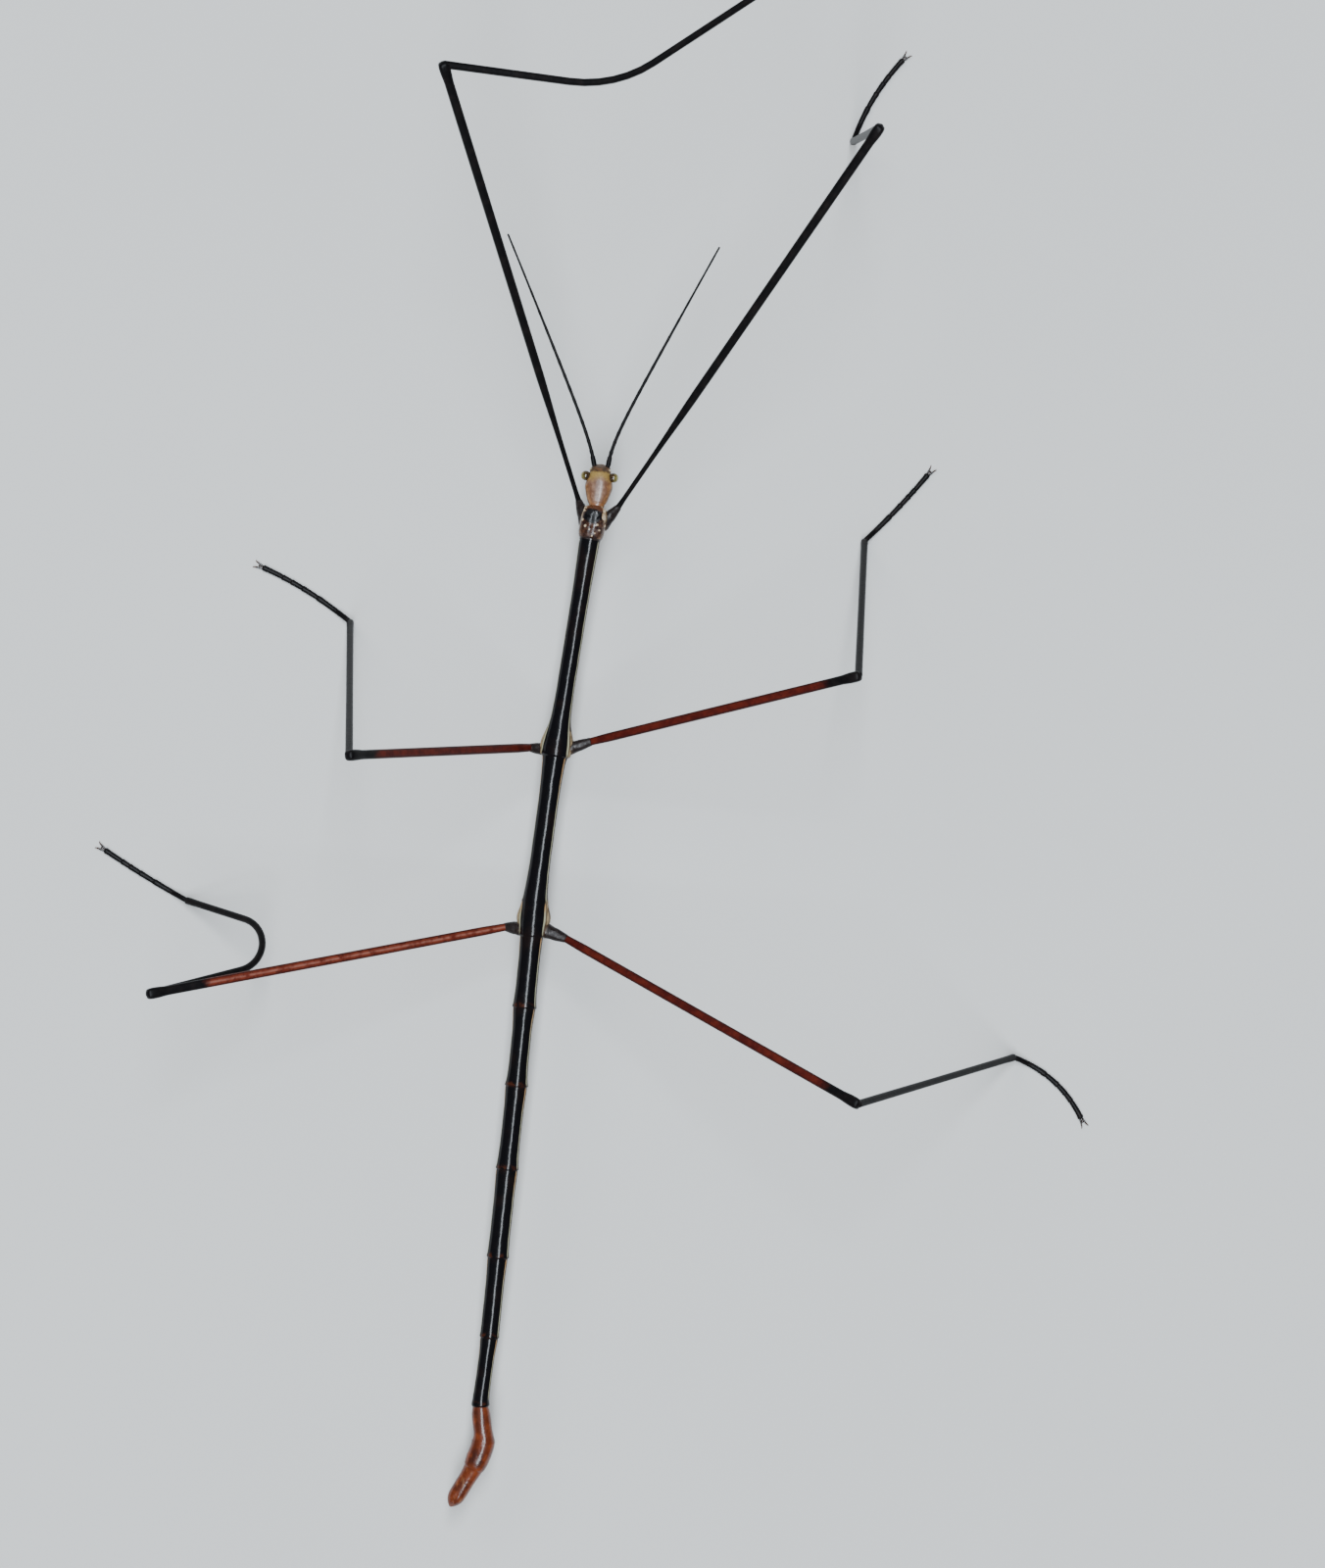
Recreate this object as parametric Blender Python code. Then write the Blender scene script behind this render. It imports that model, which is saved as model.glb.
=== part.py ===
"""Giant stick insect: a still, life-size model of a slender wingless male.

The animal stands on a flat floor at z = 0, its head towards +Y and its right side towards +X.
Five feet stand on the floor and the left fore leg reaches forward in the air.  Two shins are
malformed, as they are on the living animal: the left fore one bows and the left hind one is
folded into a hairpin.  All sizes below are in millimetres and degrees, and the builders turn
them into metres.
"""
import math
from collections import namedtuple

import bmesh
import bpy
from mathutils import Matrix, Vector

MM = 0.001
GAP = 0.3                  # clear space between neighbouring pieces
COLLECTION = "giant_stick_insect"
CUTTERS = "cutters"

# ---------------------------------------------------------------- trunk
TRUNK_HEIGHT = 9.3         # height of the body's axis where the hind two thorax rings meet
TRUNK_ROLL = 10.0          # the right side is carried this much higher than the left
TRUNK_SIDES = 14
TRUNK_RINGS = 9
TRUNK_POWER = 2.2          # 2 is a round section, more is squarer
DORSAL_SHARE = 0.48        # height of the back over the axis, as a share of the width
FLARE = 0.34               # share of a segment's length over which each end widens

# name, length, yaw and droop of its axis going backward, width in front, at the waist, behind,
# depth of the belly under the axis as a share of the width
Segment = namedtuple("Segment", "name length yaw droop front waist hind belly")
SEGMENTS = (
    Segment("prothorax", 3.3, -4.4, 3.0, 2.15, 2.66, 2.58, 0.44),
    Segment("mesothorax", 22.4, -2.0, 2.3, 2.15, 1.84, 2.76, 0.42),
    Segment("metathorax", 15.0, -0.6, 1.0, 2.45, 2.10, 2.60, 0.42),
    Segment("abdomen_1", 3.5, 2.0, 0.0, 2.55, 2.45, 2.45, 0.40),
    Segment("abdomen_2", 7.3, 1.4, 0.0, 2.40, 2.20, 2.46, 0.40),
    Segment("abdomen_3", 8.0, 1.4, 1.0, 2.40, 2.00, 2.38, 0.40),
    Segment("abdomen_4", 8.5, 0.8, 2.0, 2.32, 2.04, 2.32, 0.40),
    Segment("abdomen_5", 9.0, 1.1, 3.0, 2.28, 2.08, 2.24, 0.40),
    Segment("abdomen_6", 8.2, 1.3, 3.0, 2.16, 1.90, 1.94, 0.40),
    Segment("abdomen_7", 7.0, -0.7, 4.0, 1.88, 1.60, 1.88, 0.40),
    Segment("abdomen_8", 3.8, 14.0, 6.0, 1.60, 1.95, 2.50, 0.50),
    Segment("abdomen_9", 2.8, -15.0, 10.0, 2.46, 2.40, 2.16, 0.54),
    Segment("abdomen_10", 4.9, -24.0, 14.0, 2.08, 1.80, 1.16, 0.44),
)
ORIGIN_JOINT = 2           # the axis passes x = 0, y = 0 in front of this segment
# swellings of the flanks over the middle and hind legs: station behind the neck, reach ahead
# and behind, height, angle from the middle of the back and spread of that angle
LOBES = (
    (24.4, 1.6, 1.2, 0.50, 96.0, 30.0),
    (42.3, 1.3, 1.2, 0.55, 98.0, 30.0),
)
LOBE_MARKS = (-1.6, -0.8, 0.0, 0.7)    # extra rings of a long segment, from a lobe's middle
LOBE_MARGIN = 0.02         # share of the segment at its ends that takes no extra ring
LONG_SEGMENT = 10.0
TIP_NOTCH = (2.6, 0.32)    # length and width of the notch between the last segment's two lobes
CERCUS_RADII = (0.80, 0.26, 0.26)   # along, across, up: the small feelers at the tail's end
CERCUS_PLACE = (0.15, 0.52, 0.62)   # behind the tail's end, beside and under its axis

# ---------------------------------------------------------------- head
HEAD_LENGTH = 4.2
HEAD_YAW = 0.8
HEAD_RISE = 8.0            # the crown rises this much going backward
HEAD_ROLL = 6.0
HEAD_SIDES = 16
# share of the head's length from the front, half width, height over and depth under the axis
HEAD_SECTIONS = (
    (0.00, 0.76, 0.26, 0.50),
    (0.05, 1.00, 0.54, 0.84),
    (0.14, 1.08, 0.78, 1.00),
    (0.24, 1.10, 0.92, 1.06),
    (0.34, 1.20, 1.00, 1.08),
    (0.45, 1.36, 1.06, 1.06),
    (0.57, 1.40, 1.06, 1.02),
    (0.69, 1.29, 1.02, 0.96),
    (0.81, 1.15, 0.92, 0.86),
    (0.93, 0.95, 0.76, 0.72),
    (1.00, 0.78, 0.62, 0.58),
)
EYE_RADII = (0.50, 0.50, 0.50)   # along, across, up
EYE_SHARE = 0.29           # how far back along the head the eyes sit
EYE_SIDE = 1.43
EYE_LIFT = 0.25
SOCKET_ROOM = 0.16         # space round an eye or the mouth, where it sits in the head
MOUTH_RADII = (0.95, 0.74, 0.62)  # along, across, up
MOUTH_PLACE = (0.62, 1.12)         # behind the head's front and under its axis

# ---------------------------------------------------------------- feelers
FEELER_LENGTH = 25.0
FEELER_SIDE = 0.74
FEELER_LIFT = 0.12
FEELER_GAP = 0.16          # clear space between the head's front and a feeler
FEELER_POINTS = 15
FEELER_SETTLE = 2.4        # length over which a feeler turns from its first to its last heading
# side, heading at the base and at the tip, counted from +X towards +Y
FEELERS = (("left", -1, 107.0, 119.5), ("right", 1, 88.0, 68.0))
FEELER_RISE = (16.0, 4.0)
FEELER_RADII = ((0.0, 0.36), (0.05, 0.34), (0.08, 0.27), (0.6, 0.25), (1.0, 0.25))

# ---------------------------------------------------------------- legs
LEG_SIDES = 8
FEMUR_POWER = 3.0          # 2 is a round section, more is squarer
STRAIGHT_STEP = 7.0
ARC_STEP = 20.0
TROCHANTER_BEND = 0.6
TROCHANTER_PAST = 0.15     # length of the trochanter past its bend
KNEE_BEND = 0.55
ANKLE_HEIGHT = 0.95
SOLE_HEIGHT = 0.32         # height of a foot's axis over the floor
SOLE_PRESS = 0.14          # whatever of a foot lies lower than this is pressed flat on the floor
TARSUS_STEPS = 24
SETTLE_SHARE = 0.16        # share of the foot that slopes down from the ankle to the sole

# shares of the length with the radius there
COXA_PROFILE = ((0.0, 0.40), (0.14, 0.58), (0.45, 0.60), (0.8, 0.50), (1.0, 0.46))
FEMUR_PROFILE = ((0.0, 0.40), (0.06, 0.46), (0.9, 0.47), (0.965, 0.55), (1.0, 0.50))
FORE_FEMUR_PROFILE = ((0.0, 0.34), (0.03, 0.29), (0.1, 0.30), (0.3, 0.44), (0.9, 0.46), (0.97, 0.55),
                      (1.0, 0.50))
TIBIA_PROFILE = ((0.0, 0.40), (0.05, 0.38), (0.5, 0.37), (0.93, 0.35), (1.0, 0.38))
TARSOMERES = (0.42, 0.16, 0.12, 0.09, 0.21)
TARSUS_RADII = (0.28, 0.34)   # at the near and the far end of each foot segment
CLAW_OUTLINE = ((0.0, -0.24), (0.35, -0.34), (0.95, -0.62), (1.02, -0.42), (0.62, 0.0))
CLAW_THICKNESS = 0.5

# station: distance of the hip behind the head's neck along the axis
# out, sink: place of the hip outside the body's side and under its axis
# coxa, femur: length, heading, rise; tibia: length, then share and heading of each stretch
# bow: radius of the turn between two stretches; drop: fall of a tibia that ends in the air
# tarsus: length, heading at the ankle and at the claws
Leg = namedtuple("Leg", "name side station out sink coxa femur tibia bow drop tarsus")
LEGS = (
    Leg("fore_left", -1, 2.1, 0.82, 0.60, (2.54, 82.7, -4.0), (50.2, 116.4, 33.9),
        (36.6, (0.47, 2.7), (0.53, 43.0)), 12.5, 9.0, (10.2, 50.0, 66.0)),
    Leg("fore_right", 1, 2.0, 0.80, 0.40, (2.56, 86.0, -5.1), (50.2, 61.4, 33.0),
        (36.8, (1.0, 93.3)), 0.0, None, (10.4, 78.0, 54.0)),
    Leg("mid_left", -1, 24.8, 0.70, 0.45, (0.81, 206.1, -7.6), (28.26, 193.6, 50.3),
        (33.1, (1.0, 99.7)), 0.0, None, (10.8, 147.0, 163.0)),
    Leg("mid_right", 1, 24.6, 0.80, 0.30, (1.65, 34.7, 1.9), (31.0, 19.3, 30.5),
        (29.1, (1.0, 87.7)), 0.0, None, (9.8, 50.0, 57.0)),
    Leg("hind_left", -1, 43.2, 0.74, 0.45, (0.87, 198.5, -6.9), (38.6, 198.2, 21.2),
        (31.0, (0.55, 23.0), (0.45, 169.0)), 2.75, None, (10.0, 158.0, 153.0)),
    Leg("hind_right", 1, 43.0, 0.80, 0.30, (1.79, -35.9, 2.1), (37.4, -23.2, 28.7),
        (32.3, (1.0, 20.5)), 0.0, None, (9.8, -12.0, -58.0)),
)

# ---------------------------------------------------------------- colours: rgb, roughness
COLOURS = {
    "black_cuticle": ((0.012, 0.012, 0.016), 0.28),
    "red_cuticle": ((0.26, 0.035, 0.02), 0.4),
    "orange_cuticle": ((0.42, 0.10, 0.025), 0.3),
    "tan_cuticle": ((0.36, 0.22, 0.11), 0.4),
    "eye": ((0.45, 0.43, 0.22), 0.12),
}


# ---------------------------------------------------------------- directions and paths
def heading(azimuth, rise):
    """Unit vector at an azimuth from +X towards +Y and a rise over the floor."""
    azimuth, rise = math.radians(azimuth), math.radians(rise)
    return Vector((math.cos(azimuth) * math.cos(rise), math.sin(azimuth) * math.cos(rise),
                   math.sin(rise)))


def backward(yaw, droop):
    """Unit vector going tailward, turned to the right by yaw and down by droop."""
    return heading(yaw - 90.0, -droop)


def rolled_side(tangent, roll):
    """The body's own right-hand direction, square to its axis."""
    roll = math.radians(roll)
    side = Vector((math.cos(roll), 0.0, math.sin(roll)))
    return (side - tangent * side.dot(tangent)).normalized()


def profile(table, share):
    """Value at a share of the length, read from (share, value) pairs with eased steps."""
    for (low, a), (high, b) in zip(table, table[1:]):
        if share <= high:
            ease = (share - low) / (high - low)
            ease = ease * ease * (3.0 - 2.0 * ease)
            return a + (b - a) * ease
    return table[-1][1]


def rounded(corners, radii):
    """Points of a path through the corners, with each inner corner rounded to its radius."""
    points = [corners[0]]
    for before, corner, after, radius in zip(corners, corners[1:], corners[2:], radii):
        into, out = (corner - before).normalized(), (after - corner).normalized()
        turn = into.angle(out)
        if radius <= 0.0 or turn < 1e-3:
            points.append(corner)
            continue
        reach = radius * math.tan(turn / 2.0)
        inward = (out - into).normalized()
        centre = corner + inward * math.hypot(radius, reach)
        first = corner - into * reach - centre
        axis = into.cross(out)
        steps = max(2, math.ceil(math.degrees(turn) / ARC_STEP))
        for step in range(steps + 1):
            points.append(centre + Matrix.Rotation(turn * step / steps, 3, axis) @ first)
    points.append(corners[-1])
    return points


def lengths_along(points):
    """Running length at each point of a path."""
    run = [0.0]
    for a, b in zip(points, points[1:]):
        run.append(run[-1] + (b - a).length)
    return run


def point_at(points, run, length):
    """Point of a path at a running length."""
    for a, b, low, high in zip(points, points[1:], run, run[1:]):
        if length <= high and high > low:
            return a.lerp(b, (length - low) / (high - low))
    return points[-1].copy()


def stretch(points, start, end):
    """The part of a path between two running lengths, with long straight steps divided."""
    run = lengths_along(points)
    marks = [start] + [mark for mark in run if start + 0.05 < mark < end - 0.05] + [end]
    cut = []
    for low, high in zip(marks, marks[1:]):
        steps = max(1, math.ceil((high - low) / STRAIGHT_STEP))
        cut += [point_at(points, run, low + (high - low) * step / steps) for step in range(steps)]
    return cut + [point_at(points, run, end)]


def tangents(points):
    """Direction of a path at each of its points."""
    steps = [(b - a).normalized() for a, b in zip(points, points[1:])]
    inner = [(a + b).normalized() for a, b in zip(steps, steps[1:])]
    return [steps[0]] + inner + [steps[-1]]


# ---------------------------------------------------------------- mesh builders
def section(centre, side, up, half_width, top, bottom, sides, power=2.0):
    """Ring of points round a centre: an oval, or a rounded box where the power is over 2."""
    ring = []
    for index in range(sides):
        angle = 2.0 * math.pi * (index + 0.5) / sides
        across, rise = math.cos(angle), math.sin(angle)
        scale = (abs(across) ** power + abs(rise) ** power) ** (-1.0 / power)
        height = top if rise > 0.0 else bottom
        ring.append(centre + side * (half_width * across * scale) + up * (height * rise * scale))
    return ring


def loft(name, rings, colour):
    """Closed body through a row of rings, added to the insect's collection."""
    mesh = bpy.data.meshes.new(name)
    body = bmesh.new()
    rows = [[body.verts.new(point * MM) for point in ring] for ring in rings]
    for row, following in zip(rows, rows[1:]):
        for index in range(len(row)):
            nxt = (index + 1) % len(row)
            body.faces.new((row[index], row[nxt], following[nxt], following[index]))
    body.faces.new(rows[0])
    body.faces.new(rows[-1])
    bmesh.ops.recalc_face_normals(body, faces=body.faces)
    body.to_mesh(mesh)
    body.free()
    mesh.shade_smooth()
    mesh.set_sharp_from_angle(angle=math.radians(50.0))
    return add_object(name, mesh, colour)


def add_object(name, data, colour):
    """Object of a node's name, with its own material, in the insect's collection."""
    piece = bpy.data.objects.new(name, data)
    bpy.data.collections[COLLECTION].objects.link(piece)
    rgb, roughness = COLOURS[colour]
    material = bpy.data.materials.new(f"{name}_{colour}")
    material.use_nodes = True
    shader = material.node_tree.nodes["Principled BSDF"]
    shader.inputs["Base Color"].default_value = (*rgb, 1.0)
    shader.inputs["Roughness"].default_value = roughness
    shader.inputs["Metallic"].default_value = 0.0
    data.materials.append(material)
    return piece


def tube(name, points, radii, colour):
    """Round tube along a path, as a bevelled curve with filled caps."""
    curve = bpy.data.curves.new(name, "CURVE")
    curve.dimensions = "3D"
    curve.bevel_depth = MM
    curve.bevel_resolution = 2
    curve.use_fill_caps = True
    spline = curve.splines.new("POLY")
    spline.points.add(len(points) - 1)
    for control, point, radius in zip(spline.points, points, radii):
        control.co = (*(point * MM), 1.0)
        control.radius = radius
    return add_object(name, curve, colour)


def oval(name, centre, radii, rotation, colour):
    """Egg-shaped body from a UV sphere, its own axes turned by a rotation matrix."""
    mesh = bpy.data.meshes.new(name)
    body = bmesh.new()
    bmesh.ops.create_uvsphere(body, u_segments=12, v_segments=8, radius=MM)
    shape = Matrix.Diagonal(Vector(radii)).to_4x4()
    bmesh.ops.transform(body, matrix=rotation.to_4x4() @ shape, verts=body.verts)
    body.to_mesh(mesh)
    body.free()
    mesh.shade_smooth()
    piece = add_object(name, mesh, colour)
    piece.location = centre * MM
    return piece


def as_cutter(piece):
    """Move a piece to the cutters and leave it out of the model."""
    bpy.data.collections[COLLECTION].objects.unlink(piece)
    bpy.data.collections[CUTTERS].objects.link(piece)
    piece.hide_render = True
    piece.display_type = "WIRE"


def combine(piece, helper, operation):
    """Take a helper's shape out of a piece, or join it on."""
    as_cutter(helper)
    modifier = piece.modifiers.new(helper.name, "BOOLEAN")
    modifier.operation = operation
    modifier.solver = "EXACT"
    modifier.object = helper


# ---------------------------------------------------------------- trunk
def trunk_joints():
    """Points of the body's axis where the segments meet, from the neck to the tail."""
    joints = [Vector((0.0, 0.0, 0.0))]
    for part in SEGMENTS:
        joints.append(joints[-1] + backward(part.yaw, part.droop) * part.length)
    shift = Vector((0.0, 0.0, TRUNK_HEIGHT)) - joints[ORIGIN_JOINT]
    return [joint + shift for joint in joints]


def trunk_station(joints, station):
    """Axis point, tailward direction, segment and share of it at a distance behind the neck."""
    for part, start in zip(SEGMENTS, joints):
        if station <= part.length:
            direction = backward(part.yaw, part.droop)
            return start + direction * station, direction, part, station / part.length
        station -= part.length
    raise ValueError("station lies behind the tail")


def segment_width(part, share):
    """Width of a segment at a share of its length: a waist that widens at both ends."""
    ahead = max(0.0, 1.0 - share / FLARE) ** 2
    behind = max(0.0, 1.0 - (1.0 - share) / FLARE) ** 2
    return part.waist + (part.front - part.waist) * ahead + (part.hind - part.waist) * behind


def lobe_rise(station, angle):
    """Rise of the lobes over the plain flank, at an angle from the middle of the back."""
    rise = 0.0
    for middle, ahead, behind, height, side, spread in LOBES:
        reach = ahead if station < middle else behind
        along, round_body = (station - middle) / reach, (abs(angle) - side) / spread
        rise += height * math.exp(-along ** 2 - round_body ** 2)
    return rise


def with_lobes(ring, centre, side, up, station):
    """A ring of the body with its flanks swollen where there is a lobe."""
    swollen = []
    for point in ring:
        out = point - centre
        angle = math.degrees(math.atan2(out.dot(side), out.dot(up)))
        swollen.append(point + out.normalized() * lobe_rise(station, angle))
    return swollen


def ring_shares(part, start):
    """Shares of a segment's length at which it has a ring, closer together at a lobe."""
    shares = {step / (TRUNK_RINGS - 1) for step in range(TRUNK_RINGS)}
    for lobe in LOBES:
        marks = [(lobe[0] + mark - start) / part.length for mark in LOBE_MARKS]
        if part.length > LONG_SEGMENT:
            shares |= {mark for mark in marks if LOBE_MARGIN < mark < 1.0 - LOBE_MARGIN}
    return sorted(shares)


def build_segment(part, index, joints):
    """One ring of the thorax or abdomen, its ends square to the bend at each joint."""
    own = backward(part.yaw, part.droop)
    ahead = SEGMENTS[max(0, index - 1)]
    behind = SEGMENTS[min(len(SEGMENTS) - 1, index + 1)]
    front_way = (own + backward(ahead.yaw, ahead.droop)).normalized()
    hind_way = (own + backward(behind.yaw, behind.droop)).normalized()
    start = joints[index] + own * (GAP / 2.0)
    end = joints[index + 1] - own * (GAP / 2.0)
    before = sum(other.length for other in SEGMENTS[:index])
    rings = []
    for share in ring_shares(part, before):
        way = front_way.lerp(own, min(1.0, 2.0 * share))
        if share > 0.5:
            way = own.lerp(hind_way, 2.0 * share - 1.0)
        way.normalize()
        side = rolled_side(way, TRUNK_ROLL)
        width, centre, up = segment_width(part, share), start.lerp(end, share), way.cross(side)
        ring = section(centre, side, up, width / 2.0, width * DORSAL_SHARE, width * part.belly,
                       TRUNK_SIDES, TRUNK_POWER)
        rings.append(with_lobes(ring, centre, side, up, before + share * part.length))
    colour = "orange_cuticle" if part.name in ("abdomen_8", "abdomen_9", "abdomen_10") else (
        "tan_cuticle" if part.name == "prothorax" else "black_cuticle")
    if part.name == "abdomen_10":
        rings.append(rounded_end(rings[-1], own))
    return loft(part.name, rings, colour)


def rounded_end(ring, way):
    """A smaller ring past the last one, which rounds the end off."""
    centre = sum(ring, Vector()) / len(ring)
    return [centre + (point - centre) * 0.6 + way * 0.25 for point in ring]


def split_tip(tip, joints):
    """Notch that parts the last segment into two lobes, and the two small cerci under them."""
    part = SEGMENTS[-1]
    way = backward(part.yaw, part.droop)
    side = rolled_side(way, TRUNK_ROLL)
    up = way.cross(side)
    length, width = TIP_NOTCH
    turn = Matrix((way, side, up)).transposed()
    centre = joints[-1] + way * 0.2
    notch = oval("tip_notch", centre, (length, width / 2.0, 1.6), turn, "orange_cuticle")
    combine(tip, notch, "DIFFERENCE")
    back, beside, under = CERCUS_PLACE
    for name, sign in (("cercus_left", -1), ("cercus_right", 1)):
        place = joints[-1] + way * (back - CERCUS_RADII[0] / 2.0) + side * (beside * sign) - up * under
        combine(tip, oval(name, place, CERCUS_RADII, turn, "orange_cuticle"), "UNION")


# ---------------------------------------------------------------- head
def head_frame(joints):
    """Neck point, tailward direction, right and up of the head."""
    way = backward(HEAD_YAW, -HEAD_RISE)
    side = rolled_side(way, HEAD_ROLL)
    neck = joints[0] - way * (GAP / 2.0) - backward(SEGMENTS[0].yaw, 0.0) * (GAP / 2.0)
    return neck, way, side, way.cross(side)


def build_head(joints):
    """Head capsule with its eyes, mouth and feelers."""
    neck, way, side, up = head_frame(joints)
    front = neck - way * HEAD_LENGTH
    rings = [section(front + way * (share * HEAD_LENGTH), side, up, half, top, bottom,
                     HEAD_SIDES, TRUNK_POWER) for share, half, top, bottom in HEAD_SECTIONS]
    head = loft("head", rings, "tan_cuticle")
    turn = Matrix((way, side, up)).transposed()
    for name, sign in (("eye_left", -1), ("eye_right", 1)):
        centre = front + way * (EYE_SHARE * HEAD_LENGTH) + side * (EYE_SIDE * sign) + up * EYE_LIFT
        set_in(head, name, centre, EYE_RADII, turn, "eye")
    mouth = front + way * MOUTH_PLACE[0] - up * MOUTH_PLACE[1]
    set_in(head, "mouthparts", mouth, MOUTH_RADII, turn, "tan_cuticle")
    for name, sign, first, last in FEELERS:
        root = front + side * (FEELER_SIDE * sign) + up * FEELER_LIFT - way * FEELER_GAP
        build_feeler(f"antenna_{name}", root, first, last)


def set_in(head, name, centre, radii, turn, colour):
    """An oval piece that sits in a socket of the head."""
    oval(name, centre, radii, turn, colour)
    socket = oval(f"socket_{name}", centre, [radius + SOCKET_ROOM for radius in radii], turn, colour)
    combine(head, socket, "DIFFERENCE")


def build_feeler(name, root, first, last):
    """A feeler that leaves the head at one heading and soon settles to another."""
    step = FEELER_LENGTH / (FEELER_POINTS - 1)
    points = [root]
    for index in range(FEELER_POINTS - 1):
        along = index * step
        azimuth = last + (first - last) * math.exp(-along / FEELER_SETTLE)
        rise = FEELER_RISE[0] + (FEELER_RISE[1] - FEELER_RISE[0]) * along / FEELER_LENGTH
        points.append(points[-1] + heading(azimuth, rise) * step)
    shares = [index / (FEELER_POINTS - 1) for index in range(FEELER_POINTS)]
    tube(name, points, [profile(FEELER_RADII, share) for share in shares], "black_cuticle")


# ---------------------------------------------------------------- legs
def tibia_points(leg, knee):
    """Path of a shin in plan, bowed where it is malformed, falling evenly to the ankle."""
    length, *stretches = leg.tibia
    drop = leg.drop if leg.drop is not None else knee.z - ANKLE_HEIGHT
    level = math.sqrt(length ** 2 - drop ** 2)
    shares = [share for share, _ in stretches]
    corners = [Vector((knee.x, knee.y, 0.0))]
    for share, azimuth in stretches:
        corners.append(corners[-1] + heading(azimuth, 0.0) * (level * share))
    plan = corners
    if len(shares) > 1:
        turn = math.radians(stretches[1][1] - stretches[0][1])
        spare = 2.0 * leg.bow * math.tan(turn / 2.0) - leg.bow * turn
        corners[1:] = [corner + heading(stretches[0][1], 0.0) * (spare / 2.0)
                       for corner in corners[1:]]
        corners[2] += heading(stretches[1][1], 0.0) * (spare / 2.0)
        plan = rounded(corners, [leg.bow])
    run = lengths_along(plan)
    return [Vector((point.x, point.y, knee.z - drop * along / run[-1]))
            for point, along in zip(plan, run)]


def tarsus_points(leg, ankle):
    """Path of a foot: down from the ankle to the sole, then along the floor in a gentle curve."""
    length, first, last = leg.tarsus
    points = [ankle]
    step = length / TARSUS_STEPS
    for index in range(TARSUS_STEPS):
        share = (index + 0.5) / TARSUS_STEPS
        way = heading(first + (last - first) * share, 0.0)
        if leg.drop is None:
            target = SOLE_HEIGHT + (ankle.z - SOLE_HEIGHT) * max(0.0, 1.0 - share / SETTLE_SHARE)
            move = way * step
            move.z = target - points[-1].z
        else:
            move = heading(first + (last - first) * share, -18.0 - 30.0 * share) * step
        points.append(points[-1] + move)
    return points


def leg_corners(leg, joints):
    """Hip beside the body, the trochanter and the knee."""
    axis, way, part, share = trunk_station(joints, leg.station)
    right = rolled_side(way, TRUNK_ROLL)
    beside = segment_width(part, share) / 2.0 + leg.out
    hip = axis + right * (leg.side * beside) - way.cross(right) * leg.sink
    trochanter = hip + heading(*leg.coxa[1:]) * leg.coxa[0]
    knee = trochanter + heading(*leg.femur[1:]) * leg.femur[0]
    return hip, trochanter, knee


def turn_at(before, corner, after, radius):
    """Angle of a rounded corner, and the distance before it at which the rounding starts."""
    turn = (corner - before).angle(after - corner)
    return turn, radius * math.tan(turn / 2.0)


def leg_rings(points, radii, power, level_side):
    """Rings along a leg's path, kept from twisting by a level side direction."""
    ways = tangents(points)
    rings = []
    for point, way, radius in zip(points, ways, radii):
        side = level_side - way * level_side.dot(way)
        side.normalize()
        rings.append(section(point, side, way.cross(side), radius, radius, radius, LEG_SIDES, power))
    return rings


def build_leg(leg, joints):
    """Coxa, femur, tibia, tarsus and claws of one leg, cut from one bent path."""
    hip, trochanter, knee = leg_corners(leg, joints)
    shin = tibia_points(leg, knee)
    path = rounded([hip, trochanter] + shin, [TROCHANTER_BEND, KNEE_BEND] + [0.0] * (len(shin) - 2))
    total = lengths_along(path)[-1]
    hip_turn, hip_reach = turn_at(hip, trochanter, knee, TROCHANTER_BEND)
    knee_turn, knee_reach = turn_at(trochanter, knee, shin[1], KNEE_BEND)
    coxa_end = leg.coxa[0] - hip_reach + TROCHANTER_BEND * hip_turn + TROCHANTER_PAST
    knee_start = total - (lengths_along(shin)[-1] - knee_reach) - KNEE_BEND * knee_turn

    coxa = stretch(path, 0.0, coxa_end)
    femur = stretch(path, coxa_end + GAP, knee_start - GAP / 2.0)
    tibia = stretch(path, knee_start + GAP / 2.0, total - GAP / 2.0)
    aim = heading(leg.femur[1], 0.0)
    level = Vector((aim.y, -aim.x, 0.0))
    add_leg_piece(f"coxa_{leg.name}", coxa, COXA_PROFILE, level, TRUNK_POWER, "tan_cuticle")
    fore = leg.name.startswith("fore")
    colour, table = ("black_cuticle", FORE_FEMUR_PROFILE) if fore else ("red_cuticle", FEMUR_PROFILE)
    add_leg_piece(f"femur_{leg.name}", femur, table, level, FEMUR_POWER, colour)
    run = lengths_along(tibia)
    thickness = [profile(TIBIA_PROFILE, along / run[-1]) for along in run]
    tube(f"tibia_{leg.name}", tibia, thickness, "black_cuticle")
    build_foot(leg, tarsus_points(leg, shin[-1]))


def add_leg_piece(name, points, table, level, power, colour):
    """One leg piece with its thickness read from a profile."""
    run = lengths_along(points)
    marks = sorted({along / run[-1] for along in run} | {share for share, _ in table})
    spots = [point_at(points, run, mark * run[-1]) for mark in marks]
    thickness = [profile(table, mark) for mark in marks]
    loft(name, leg_rings(spots, thickness, power, level), colour)


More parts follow.
